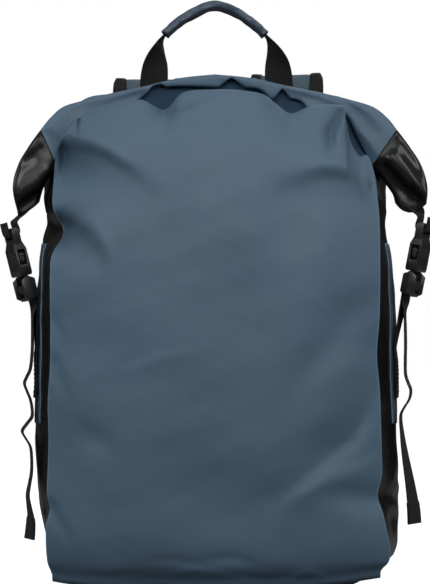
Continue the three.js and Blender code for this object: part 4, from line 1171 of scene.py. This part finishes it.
def woven_material(name, colour, pitch, roughness, sheen):
    """Woven yarn: fine threads along and across, with a little fuzz."""
    material, tree, shader = new_material(name, {
        "Roughness": roughness, "Specular IOR Level": YARN_SPECULAR, "Sheen Weight": sheen,
        "Sheen Roughness": YARN_FUZZ})
    along, across = waves(tree, pitch, "X", YARN_WAVE), waves(tree, 2 * pitch, "Y", YARN_WAVE)
    threads = math_of(tree, "MULTIPLY", along, across)
    uneven = math_of(tree, "MULTIPLY", mapped(tree, threads, *YARN_TINT), mottle(tree, "yarn"))
    tree.links.new(tinted(tree, colour, uneven), shader.inputs["Base Color"])
    bumped(tree, shader, [grain(tree, "yarn"), (threads, *YARN_THREADS)])
    return material


def plastic_material(name, colour, roughness):
    """Moulded plastic with a fine spark-eroded grain."""
    material, tree, shader = new_material(name, {})
    tree.links.new(tinted(tree, colour, mottle(tree, "plastic")), shader.inputs["Base Color"])
    tree.links.new(mottle(tree, "plastic_shine", roughness), shader.inputs["Roughness"])
    bumped(tree, shader, [grain(tree, "plastic")])
    return material


def edge_material(name, colour):
    """The cut edge of the cloth, where the bare threads show."""
    material, tree, shader = new_material(name, {
        "Roughness": EDGE_ROUGHNESS, "Specular IOR Level": EDGE_SPECULAR})
    tree.links.new(tinted(tree, colour, mottle(tree, "cut_edge")), shader.inputs["Base Color"])
    bumped(tree, shader, [grain(tree, "cut_edge")])
    return material


_materials = {}


def finish(name):
    """The bag's materials, each made once."""
    if name not in _materials:
        scene = bpy.context.scene
        canvas, webbing = scene.backpack_canvas, scene.backpack_webbing
        padding, hardware = scene.backpack_padding, scene.backpack_hardware
        makers = {
            "canvas_blue": lambda: canvas_material(
                name, canvas.blue, canvas.weave, roughness=0.58, specular=0.45, gloss=0.0, crumple=0.1),
            "canvas_black": lambda: canvas_material(
                name, canvas.black, canvas.weave, roughness=0.36, specular=0.2, gloss=0.26, crumple=0.5),
            "sleeve_blue": lambda: canvas_material(
                name, padding.sleeve, canvas.weave, roughness=0.5, specular=0.45, gloss=0.05, crumple=0.2,
                creased=False),
            "cloth_edge": lambda: edge_material(name, canvas.edge),
            "thread": lambda: edge_material(name, THREAD),
            "black_edge": lambda: edge_material(name, BLACK_EDGE),
            # the reverse, darkened as painted shade for the pockets
            "canvas_reverse_shade": lambda: edge_material(name, REVERSE_SHADE),
            "pad_blue": lambda: woven_material(name, padding.pad, PAD_PITCH, roughness=0.7, sheen=0.15),
            "webbing_black": lambda: woven_material(
                name, webbing.colour, YARN_PITCH, roughness=0.66, sheen=0.03),
            "plastic_black": lambda: plastic_material(name, hardware.plastic, hardware.roughness),
        }
        _materials[name] = makers[name]()
    return _materials[name]


# Frames of straps and buckles

def strap_frame(side):
    one = np.ones(1)
    foot = gusset_point(side, STRAP_THROUGH * one, share_at_seam(STRAP_LEVEL) * one, False)[0]
    out = Vector((side * math.cos(STRAP_YAW), -math.sin(STRAP_YAW), 0))
    up = Vector((0, 0, 1))
    made = Matrix((out, up.cross(out), up)).transposed().to_4x4()
    made.translation = (foot[0], foot[1], 0)
    return made


def buckle_frame(side):
    strap = SIDE_STRAPS[side]
    tilt = Matrix.Rotation(math.radians(strap["lean"]), 4, "Y")
    tilt.translation = (strap["foot_out"], 0, strap["foot_z"])
    return strap_frame(side) @ tilt @ Matrix.Rotation(-side * BUCKLE_TURN, 4, "Z")


def lock_frame(side):
    made = Matrix.Rotation(-side * LOCK["roll"], 4, "Y") @ Matrix.Rotation(math.pi / 2, 4, "Z")
    made.translation = (side * LOCK["x"], LOCK["y"], LOCK["z"])
    return made


def webbing_at(place, x, z, turn=0.0):
    """A station of webbing in a frame, turned about its own length."""
    sideways = place.to_3x3() @ Vector((math.sin(turn), math.cos(turn), 0))
    return np.array(place @ Vector((x, 0, z))), np.array(sideways), WEBBING_WIDTH


def roll_section(station):
    """The upper edge, lower edge and depth of the roll at places along it."""
    row = {name: column_at(ROLL, name, np.abs(station)) for name in ROLL}

    def edge(name):
        across = np.where(station < 0, -row[f"left{name}X"], row[f"right{name}X"])
        height = np.where(station < 0, row[f"left{name}Z"], row[f"right{name}Z"])
        return np.stack([across, ROLL_MID_Y + row["midY"], height], axis=-1)

    return edge("Top"), edge("Low"), row["depth"]


def roll_edges(station):
    """As roll_section, with the lower edge lifted clear of the front panel along the lip."""
    top, low, depth = roll_section(station)
    x = top[..., 0]
    lip = np.stack([LIP_NARROW * x, top[..., 1], held_at(ROLL_LIP, "z", x)], axis=-1)
    tents = sum(tent["rise"] * np.maximum(0, 1 - np.abs(x - tent["x"]) / tent["reach"]) for tent in LIP_TENTS)
    lip[..., 2] = np.minimum(lip[..., 2] + tents, top[..., 2] - LIP_ROOM)
    return top, lerp(lip, low, smoothstep(np.abs(station), *LIP_STATIONS)[..., None]), depth


def into_roll(points):
    """A panel with its last stretch added, which goes from its upper edge into the roll."""
    end = points[:, -1]
    top, low, _ = roll_edges(np.linspace(-ROLL_JOIN - 1, ROLL_JOIN + 1, ROLL_SEARCH))
    lowest = np.interp(end[:, 0], low[:, 0], low[:, 2]) + ROLL_TUCK
    highest = np.interp(end[:, 0], top[:, 0], top[:, 2]) - ROLL_TUCK
    height = np.minimum(np.maximum(end[:, 2], lowest), highest)
    inside = np.stack([end[:, 0], np.full(len(end), ROLL_MID_Y), height], axis=-1)
    return np.concatenate([points, lerp(end[:, None], inside[:, None], ROLL_STEPS[:, None])], axis=1)


def roll_point(turn, station):
    """A place on the rolled cloth, by turns from its outer end and stations from its middle."""
    top, low, depth = roll_edges(station)
    middle = (top + low) / 2
    half = np.linalg.norm(top - middle, axis=-1)
    up = unit(top - middle)
    shrink = ROLL_PITCH * turn
    angle = 2 * math.pi * (turn + ROLL_START)
    back = squared(np.cos(angle), ROLL_SQUARENESS)
    rise = squared(np.sin(angle), ROLL_SQUARENESS)
    start = squared(np.sin(2 * math.pi * ROLL_START), ROLL_SQUARENESS)
    behind = np.maximum(middle[..., 2] - ROLL_BACK_LOW, half * ROLL_BACK_LEAST) / -start
    first = np.where(np.abs(station) < ROLL_BACK_STATION, behind, half)
    height = np.where(turn < 1 - ROLL_START, first, np.maximum(half - shrink, ROLL_LEAST[0]))
    point = middle + up * (rise * height)[..., None]
    point[..., 1] += back * (depth / 2 - np.minimum(shrink, depth / 2 - ROLL_LEAST[1]))
    stands_out = np.where(station < 0, ROLL_POINT[LEFT], ROLL_POINT[RIGHT]) * (1 - rise * rise)
    stands_out = stands_out * smoothstep(np.abs(station), ROLL_POINT_START, ROLL_END)
    outward = np.stack([up[..., 2], np.zeros_like(half), -up[..., 0]], axis=-1)
    outward = outward * np.where(outward[..., 2:] > 0, -1, 1)
    return point + outward * stands_out[..., None]


def closure_tab_stations(side):
    """The tab from inside the roll's end, round the socket's bar and back."""
    gripped = []
    for station in (ROLL_END - TAB_GRIP, ROLL_END):
        top, low, _ = roll_section(np.array([side * station]))
        middle = ((top + low) / 2)[0]
        width = 2 * (np.linalg.norm(top[0] - middle) - ROLL_PITCH * ROLL_TURNS - TAB_ROOM)
        gripped.append((middle, unit(top[0] - middle), width))
    turned = [webbing_at(buckle_frame(side), x, z) for x, z in TAB_PATH]
    if np.dot(gripped[1][1], turned[0][1]) < 0:
        gripped = [(point, -across, width) for point, across, width in gripped]
    twist = [tuple(lerp(a, b, t) for a, b in zip(gripped[1], turned[0])) for t in TAB_TWIST]
    return gripped + twist + turned


def side_strap_stations(side):
    """The strap from its sewn end, through the adjuster and down its tail."""
    strap = SIDE_STRAPS[side]
    frame = strap_frame(side)
    to_frame = frame.inverted()
    stations = []
    for z in np.linspace(strap["anchor"], strap["anchor"] + STRAP_SEWN, STRAP_SEWN_COUNT):
        on_wall = gusset_point(side, np.array([STRAP_THROUGH]), np.array([share_at_seam(z)]))[0]
        stations.append(webbing_at(frame, (to_frame @ Vector(on_wall)).x + STRAP_SEAT, z))
    stations += [webbing_at(buckle_frame(side), x, z) for x, z in ADJUSTER_PATH]
    tail = strap["tail"]
    last = len(tail["z"]) - 1
    for place in np.linspace(0, last, TAIL_STEPS * last + 1):
        out, z, turn = (number_at(tail, name, place) for name in ("out", "z", "turn"))
        stations.append(webbing_at(frame, out, z, math.radians(side * turn)))
    return stations


def tangent(point_of, place, last):
    return unit(point_of(min(place + TANGENT_STEP, last)) - point_of(max(place - TANGENT_STEP, 0)))


def handle_frame(place):
    """Point, widthways and facing of the carrying loop at a row of its table."""
    def at(p):
        return np.array([number_at(HANDLE, name, p) for name in "xyz"])
    along = tangent(at, place, HANDLE_LAST)
    turn = math.radians(number_at(HANDLE, "turn", place))
    flat = unit(np.cross((0, 1, 0), along))
    sideways = unit(flat * math.cos(turn) + np.cross(along, flat) * math.sin(turn))
    return at(place), sideways, np.cross(along, sideways)


def pad_frame(side, place):
    """Point, along, across and facing of a shoulder strap at a row of its table."""
    def at(p):
        row = {name: number_at(SHOULDER, name, p) for name in SHOULDER}
        if side == LEFT:
            return np.array((-row["x"], row["y"], row["z"]))
        return np.array((row["x"] + row["aside"], row["y"], row["z"] + row["rise"]))
    along = tangent(at, place, SHOULDER_LAST)
    lean = PAD_LEAN * number_at(SHOULDER, "rise", place) if side == RIGHT else 0
    across = np.array((1, 0, lean))
    across = unit(across - along * np.dot(along, across))
    return at(place), along, across, np.cross(along, across)


class BagOperator:
    """What the bag's operators share."""

    bl_options = {"REGISTER", "UNDO"}


class BACKPACK_OT_panels(BagOperator, bpy.types.Operator):
    """Front, back and base of blue canvas"""

    bl_idname = "backpack.panels"
    bl_label = "Panels"

    def execute(self, context):
        thickness = context.scene.backpack_canvas.thickness
        looks = ["canvas_blue", "cloth_edge", "canvas_reverse_shade"]
        places = grid(FRONT_ACROSS, FRONT_SHARES)
        points = front_point(*places)
        # painted shade in the deep creases, pale along the welds, and ROLL_SHADE of painted shade on the
        # stretch into the roll
        painted_shade_and_weld = front_painted_shade(points) + weld_line(places[0])
        painted_shade_and_weld = np.pad(painted_shade_and_weld, ((0, 0), (0, len(ROLL_STEPS))), constant_values=ROLL_SHADE)
        front = cloth_piece("front_canvas", into_roll(points), (0, -1, 0), looks, thickness, painted_shade_and_weld=painted_shade_and_weld)
        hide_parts("front_panel")

        points = into_roll(back_point(*grid(BACK_ACROSS, BACK_SHARES)))
        back = cloth_piece("back_canvas", points, (0, 1, 0), looks, thickness)
        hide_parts("back_panel")

        points = self.base_points(thickness / MM)
        base = cloth_piece("base_canvas", points, (0, 0, -1), looks[:1], thickness, lift=thickness / MM)
        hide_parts("base_panel")
        return {"FINISHED"}

    def base_points(self, level):
        """A flat sheet with its edge turned up inside the walls."""
        u, v = grid(*(np.linspace(-1, 1, count) for count in BASE_COUNTS))
        length, width = BASE_HALF
        x = u * length * (1 - BASE_BOW * v * v) ** 0.5
        y = BASE_MID_Y + v * width * (1 - BASE_BOW * u * u) ** 0.5
        turned = np.where(v < 0, BASE_TURN_FRONT, BASE_TURN_BACK)
        edge = np.maximum(1 - (1 - np.abs(u)) * length / BASE_TURN_SIDE, 1 - (1 - np.abs(v)) * width / turned)
        return np.stack([x, y, level + BASE_TURN_UP * np.maximum(edge, 0) ** 2], axis=-1)


class BACKPACK_OT_gussets(BagOperator, bpy.types.Operator):
    """Gloss black side panels and their blue patches"""

    bl_idname = "backpack.gussets"
    bl_label = "Gussets"

    def execute(self, context):
        thickness = context.scene.backpack_canvas.thickness
        under = thickness / MM + UNDER_LAP
        for side, name in SIDES.items():
            points = gusset_point(side, *grid(GUSSET_THROUGH, GUSSET_SHARES))
            gusset = cloth_piece("gusset_cloth_" + name, points, (side, 0, 0), ["canvas_black", "black_edge"],
                                 thickness, -under)
            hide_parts("gusset_" + name)
            through = np.linspace(*PATCH_EDGES, PATCH_COUNTS[0])
            shares = np.linspace(*PATCH_SHARES, PATCH_COUNTS[1])
            points = gusset_point(side, *grid(through, shares))
            patch = cloth_piece("strap_patch_" + name, points, (side, 0, 0), ["canvas_blue", "cloth_edge"],
                                PATCH_THICK * MM, -PATCH_SINK)
            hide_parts("gusset_patch_" + name)
        return {"FINISHED"}


class BACKPACK_OT_roll(BagOperator, bpy.types.Operator):
    """The rolled mouth: blue in the middle, gloss black at its ends"""

    bl_idname = "backpack.roll"
    bl_label = "Rolled mouth"

    def execute(self, context):
        thickness = context.scene.backpack_canvas.thickness
        stations = np.linspace(ROLL_JOIN, -ROLL_JOIN, ROLL_COUNTS["centre"])
        centre = self.rolled("rolled_canvas", stations, "canvas_blue", "cloth_edge", thickness)
        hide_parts("roll_centre")
        for side, name in SIDES.items():
            stations = side * np.linspace(ROLL_JOIN - ROLL_JOIN_LAP, ROLL_END, ROLL_COUNTS["end"])
            end = self.rolled("rolled_end_" + name, stations, "canvas_black", "black_edge", thickness)
            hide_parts("roll_end_" + name)
        return {"FINISHED"}

    def rolled(self, name, stations, look, edge, thickness):
        """A stretch of the rolled cloth; taken from right to left, it faces outwards."""
        station, turn = grid(np.sort(stations)[::-1], np.linspace(0, ROLL_TURNS, ROLL_COUNTS["turns"]))
        points = roll_point(turn, station)
        normals = grid_normals(points)
        x, z = points[..., 0], points[..., 2]
        in_front = smoothstep(ROLL_MID_Y - points[..., 1], 0, PLEAT_FRONT)
        pressed = pressed_in(x, z, ROLL_PLEATS + END_CREASES)
        points[..., 1] += pressed * in_front * (1 - smoothstep(turn, *PLEAT_FADE))
        dull_shade = np.zeros(x.shape)
        if look == "canvas_black":
            # painted shade and a rougher coating on the black ends' dull zones
            dull_shade = np.clip(pressed_in(x, z, END_DULL_SHADE), 0, 1)
            under = 1 - smoothstep(np.abs(station), *JOIN_FADE)
            points = points - normals * (under * (thickness / MM + UNDER_LAP))[..., None]
        return cloth_piece(name, points, None, [look, edge, "canvas_reverse_shade"], thickness, painted_shade_and_weld=dull_shade)


class BACKPACK_OT_side_straps(BagOperator, bpy.types.Operator):
    """The straps at the sides and the tabs that hold the roll"""

    bl_idname = "backpack.side_straps"
    bl_label = "Side straps"

    def execute(self, context):
        for side, name in SIDES.items():
            run = strap_piece("side_webbing_" + name, "side_strap_" + name, side_strap_stations(side),
                              HEM_LENGTH)
            hem = run["total"] - HEM_LENGTH + np.array(HEM_ROWS)
            outside = np.array((side, 0, 0))
            stitches("strap_stitches_" + name, sewn_box(run, *STRAP_BOX, outside)
                     + sewn_rows(run, hem, outside) + sewn_rows(run, hem, -outside))
            run = strap_piece("roll_tab_" + name, "closure_tab_" + name, closure_tab_stations(side))
            stitches("tab_stitches_" + name, sewn_rows(run, run["total"] - np.array(TAB_ROWS), outside))
        return {"FINISHED"}


class BACKPACK_OT_buckles(BagOperator, bpy.types.Operator):
    """Side-release buckles and ladder locks"""

    bl_idname = "backpack.buckles"
    bl_label = "Buckles"

    def execute(self, context):
        self.place(self.plug(), "buckle_body", "buckle_plug", buckle_frame)
        self.place(self.socket(), "buckle_shell", "buckle_socket", buckle_frame)
        self.place(self.lock(), "strap_slider", "ladder_lock", lock_frame)
        return {"FINISHED"}

    def place(self, model, name, node_name, frame_of):
        """A copy of a model at each side, with its place in its mesh."""
        model.data.materials.append(finish("plastic_black"))
        for side, side_name in SIDES.items():
            mesh = model.data.copy()
            place = frame_of(side)
            place.translation *= MM
            mesh.transform(place)
            piece = bpy.data.objects.new(f"{name}_{side_name}", mesh)
            put_in_scene(piece)
            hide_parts(f"{node_name}_{side_name}")
        bpy.data.objects.remove(model)

    def plug(self):
        """The adjuster frame with its rails, two sprung prongs and the guide between them."""
        body = block("plug")
        cut(body, block("adjuster_slot_low"))
        cut(body, block("adjuster_slot_high"))
        for side in SIDES:
            join(body, block("rail", side))
            join(body, self.prong(side))
        join(body, block("guide"))
        return moulded(body, MOULD_RADIUS["plug"])

    def prong(self, side):
        """A sprung prong that widens into the ribbed pad under the finger."""
        arm = block("prong", side)
        for rise, outer in PRONG_STEPS:
            extrude_end(arm, UP, rise)
            spread_end(arm, side, outer)
        for rib in ("rib_1", "rib_2", "rib_3"):
            join(arm, block(rib, side))
        return arm

    def socket(self):
        """The shell with its side windows and recessed faces, and the neck that the tab is sewn about."""
        shell = block("socket")
        join(shell, block("neck"))
        cut(shell, block("tab_slot"))
        cut(shell, block("cavity"))
        for side in SIDES:
            cut(shell, block("window", side))
        return moulded(shell, MOULD_RADIUS["socket"])

    def lock(self):
        """A ladder lock: two slots and a lip to lift it by."""
        body = block("lock")
        cut(body, block("lock_slot_low"))
        cut(body, block("lock_slot_high"))
        return moulded(body, MOULD_RADIUS["lock"])


class BACKPACK_OT_handle(BagOperator, bpy.types.Operator):
    """The carrying loop and its sleeve"""

    bl_idname = "backpack.handle"
    bl_label = "Handle"

    def execute(self, context):
        places = np.linspace(0, HANDLE_LAST, HANDLE_STEPS * HANDLE_LAST + 1)
        stations = [(*handle_frame(place)[:2], WEBBING_WIDTH) for place in places]
        run = strap_piece("carry_loop", "handle_webbing", stations)
        start, stop = HANDLE_BOX
        stitches("handle_stitches", sewn_box(run, start, stop, HANDLE_OUT)
                 + sewn_box(run, run["total"] - stop, run["total"] - start, HANDLE_OUT))

        rows = []
        angles = np.linspace(GRIP_OPENING, 2 * math.pi - GRIP_OPENING, GRIP_COUNTS[1])
        across = squared(np.sin(angles), GRIP_SQUARENESS)
        through = squared(np.cos(angles), GRIP_SQUARENESS)
        for place in np.linspace(*GRIP_ROWS, GRIP_COUNTS[0]):
            point, sideways, facing = handle_frame(place)
            soft = softness(angles, place, GRIP_SOFT)
            rows.append(point + np.outer(across * soft * GRIP_HALF_WIDTH, sideways)
                        - np.outer(through * soft * GRIP_HALF_THICK, facing))
        points = np.stack(rows)
        outside = points[len(rows) // 2, len(angles) // 2] - handle_frame(sum(GRIP_ROWS) / 2)[0]
        sleeve = cloth_piece("grip_sleeve", points, outside, ["sleeve_blue", "cloth_edge"], SLEEVE_THICK * MM)
        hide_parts("handle_grip")
        return {"FINISHED"}


class BACKPACK_OT_shoulder_straps(BagOperator, bpy.types.Operator):
    """Padded shoulder straps, their bindings and the webbing below"""

    bl_idname = "backpack.shoulder_straps"
    bl_label = "Shoulder straps"

    def execute(self, context):
        crown = context.scene.backpack_padding.crown
        for side, name in SIDES.items():
            pad = self.pad("pad_" + name, side, crown)
            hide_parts("shoulder_pad_" + name)
            binding = self.binding("edge_tape_" + name, side)
            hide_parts("pad_binding_" + name)
            stitches("tape_stitches_" + name, self.tape_lines(side))
            strap_piece("lower_webbing_" + name, "lower_strap_" + name, self.lower_stations(side))
        return {"FINISHED"}

    def tape_lines(self, side):
        """Lines of stitching along the tape, on both faces of the pad's edges."""
        lines = []
        frames = [pad_frame(side, place) for place in np.linspace(0, SHOULDER_LAST - TAPE_END, TAPE_COUNT)]
        point, _, across, facing = (np.array(column) for column in zip(*frames))
        for edge in (LEFT, RIGHT):
            for face in (LEFT, RIGHT):
                beside = across * edge * (PAD_HALF_WIDTH - TAPE_STITCH)
                lines.append((point + beside + facing * face * TAPE_HALF_THICK, face * facing))
        return lines

    def pad(self, name, side, crown):
        """A crowned closed form, flat where the tape grips its edges."""
        angles = np.linspace(0, 2 * math.pi, PAD_COUNTS[1], endpoint=False)
        reach = squared(np.cos(angles), PAD_SQUARENESS)
        crowned = 1 - crown * PAD_FLAT * np.abs(reach) ** PAD_FLAT_POWER
        thick = squared(np.sin(angles), PAD_SQUARENESS) * crowned
        rings = []
        middle = []
        for place in np.linspace(0, SHOULDER_LAST, PAD_COUNTS[0]):
            point, _, across, facing = pad_frame(side, place)
            end = min(1, PAD_END[0] + PAD_END[1] * min(place, SHOULDER_LAST - place))
            soft = softness(reach, place, PAD_SOFT, side)
            rings.append(point + np.outer(reach * PAD_HALF_WIDTH, across)
                         + np.outer(thick * soft * PAD_HALF_THICK * end, facing))
            middle.append(point)
        length = run_lengths(np.array(middle))
        return ring_piece(name, np.stack(rings), reach * PAD_HALF_WIDTH, length, "pad_blue")

    def binding(self, name, side):
        """Tape folded over the pad's edges and its lower end."""
        places = np.linspace(0, SHOULDER_LAST, TAPE_COUNT)
        line = [(place, -1, 0) for place in places[:-1]]
        line += [(SHOULDER_LAST, reach, 1) for reach in TAPE_END_REACH]
        line += [(place, 1, 0) for place in places[-2::-1]]
        rows = []
        for place, reach, ends in line:
            point, along, across, facing = pad_frame(side, place)
            rows.append([point + across * (reach * PAD_HALF_WIDTH + int(reach) * out) + along * ends * out
                         + facing * face for out, face in BINDING_SECTION])
        points = np.array(rows)
        row, fold = TAPE_TEST_ROW, len(BINDING_SECTION) // 2
        if np.dot(grid_normals(points)[row, fold], points[row, fold] - pad_frame(side, places[row])[0]) < 0:
            points = points[:, ::-1]
        return cloth_piece(name, points, None, ["webbing_black"], BINDING_WALL * MM)

    def lower_stations(self, side):
        """The webbing from the ladder lock down to the base."""
        stations = [webbing_at(lock_frame(side), face, up) for face, up in LOCK_PATH]
        points = np.array(LOWER_STRAP) * (side, 1, 1)
        for i, point in enumerate(points):
            along = points[min(i + 1, len(points) - 1)] - points[max(i - 1, 0)]
            sideways = unit(np.cross((0, 1, 0), along))
            if np.dot(sideways, stations[0][1]) < 0:
                sideways = -sideways
            stations.append((point, sideways, WEBBING_WIDTH))
        return stations


class BACKPACK_OT_stage(BagOperator, bpy.types.Operator):
    """Pale floor, soft light and the camera"""

    bl_idname = "backpack.stage"
    bl_label = "Stage"

    def execute(self, context):
        settings = context.scene.backpack_stage
        self.floor(settings)
        self.sky(context.scene, settings)
        for row in LIGHTS:
            self.light(settings, *row)
        for side, side_name in SIDES.items():
            for name, place, target, *rest in SIDE_LIGHTS:
                self.light(settings, f"{side_name}_{name}", (side * place[0], *place[1:]),
                           (side * target[0], *target[1:]), *rest)
        camera = bpy.data.objects.new("camera", bpy.data.cameras.new("camera"))
        context.scene.collection.objects.link(camera)
        camera.location = (0, -CAMERA_DISTANCE, CAMERA_HEIGHT)
        camera.rotation_euler = (math.pi / 2, 0, 0)
        camera.data.lens = CAMERA_LENS
        camera.data.sensor_width = CAMERA_SENSOR
        context.scene.camera = camera
        context.scene.view_settings.view_transform = "Standard"
        return {"FINISHED"}

    def floor(self, settings):
        """A floor that takes no shade where the camera sees it."""
        bpy.ops.object.select_all(action="DESELECT")
        bpy.ops.mesh.primitive_circle_add(vertices=FLOOR_SIDES, radius=FLOOR_RADIUS, fill_type="NGON",
                                          location=(0, 0, FLOOR_LEVEL))
        floor = bpy.context.object
        floor.name = "floor"
        material = bpy.data.materials.new("floor_paint")
        tree = cleared(material)
        paint = node(tree, "BsdfDiffuse", {"Color": (*settings.floor, 1)})
        seen = node(tree, "LightPath").outputs["Is Camera Ray"]
        glow = node(tree, "Emission", {"Color": WHITE, "Strength": seen})
        both = node(tree, "AddShader", {0: paint.outputs[0], 1: glow.outputs[0]})
        node(tree, "OutputMaterial", {"Surface": both.outputs[0]})
        floor.data.materials.append(material)

    def sky(self, scene, settings):
        """A white background, and a soft light from overhead."""
        world = bpy.data.worlds.new("studio")
        scene.world = world
        tree = cleared(world)
        seen = node(tree, "Background", {"Color": WHITE, "Strength": 1.0})
        height = node(tree, "SeparateXYZ", {0: node(tree, "TexCoord").outputs["Generated"]}).outputs["Z"]
        overhead = node(tree, "MapRange", {"Value": height, **OVERHEAD}).outputs["Result"]
        strength = math_of(tree, "MULTIPLY", overhead, settings.fill)
        even = node(tree, "Background", {"Color": WHITE, "Strength": strength})
        by_camera = node(tree, "LightPath").outputs["Is Camera Ray"]
        both = node(tree, "MixShader", {0: by_camera, 1: even.outputs[0], 2: seen.outputs[0]})
        node(tree, "OutputWorld", {"Surface": both.outputs[0]})

    def light(self, settings, name, place, target, size, share, spread):
        lamp = bpy.data.lights.new(name, "AREA")
        lamp.shape = "RECTANGLE"
        lamp.size, lamp.size_y = size
        lamp.spread = math.radians(spread)
        lamp.energy = settings.key * share
        made = bpy.data.objects.new(name, lamp)
        made.location = place
        made.rotation_euler = (Vector(target) - Vector(place)).to_track_quat("-Z", "Y").to_euler()
        bpy.context.scene.collection.objects.link(made)


OPERATORS = (
    BACKPACK_OT_stage,
    BACKPACK_OT_panels,
    BACKPACK_OT_gussets,
    BACKPACK_OT_roll,
    BACKPACK_OT_side_straps,
    BACKPACK_OT_buckles,
    BACKPACK_OT_handle,
    BACKPACK_OT_shoulder_straps,
)
SETTINGS = {
    "backpack_canvas": CanvasSettings,
    "backpack_webbing": WebbingSettings,
    "backpack_padding": PaddingSettings,
    "backpack_hardware": HardwareSettings,
    "backpack_stage": StageSettings,
}


class BACKPACK_PT_sidebar(bpy.types.Panel):
    """The bag's pieces and settings"""

    bl_idname = "BACKPACK_PT_sidebar"
    bl_label = "Backpack"
    bl_space_type = "VIEW_3D"
    bl_region_type = "UI"
    bl_category = "Backpack"

    def draw(self, context):
        column = self.layout.column()
        for name in SETTINGS:
            settings = getattr(context.scene, name)
            for prop in settings.bl_rna.properties:
                if not prop.is_readonly and prop.identifier != "name":
                    column.prop(settings, prop.identifier)
        for operator in OPERATORS:
            column.operator(operator.bl_idname)


def register():
    for made in (*SETTINGS.values(), *OPERATORS, BACKPACK_PT_sidebar):
        bpy.utils.register_class(made)
    for name, settings in SETTINGS.items():
        setattr(bpy.types.Scene, name, PointerProperty(type=settings))


def unregister():
    for name in SETTINGS:
        delattr(bpy.types.Scene, name)
    for made in (BACKPACK_PT_sidebar, *reversed(OPERATORS), *reversed(SETTINGS.values())):
        bpy.utils.unregister_class(made)


def main():
    register()
    for operator in OPERATORS:
        getattr(bpy.ops.backpack, operator.bl_idname.split(".")[1])()


if __name__ == "__main__":
    main()
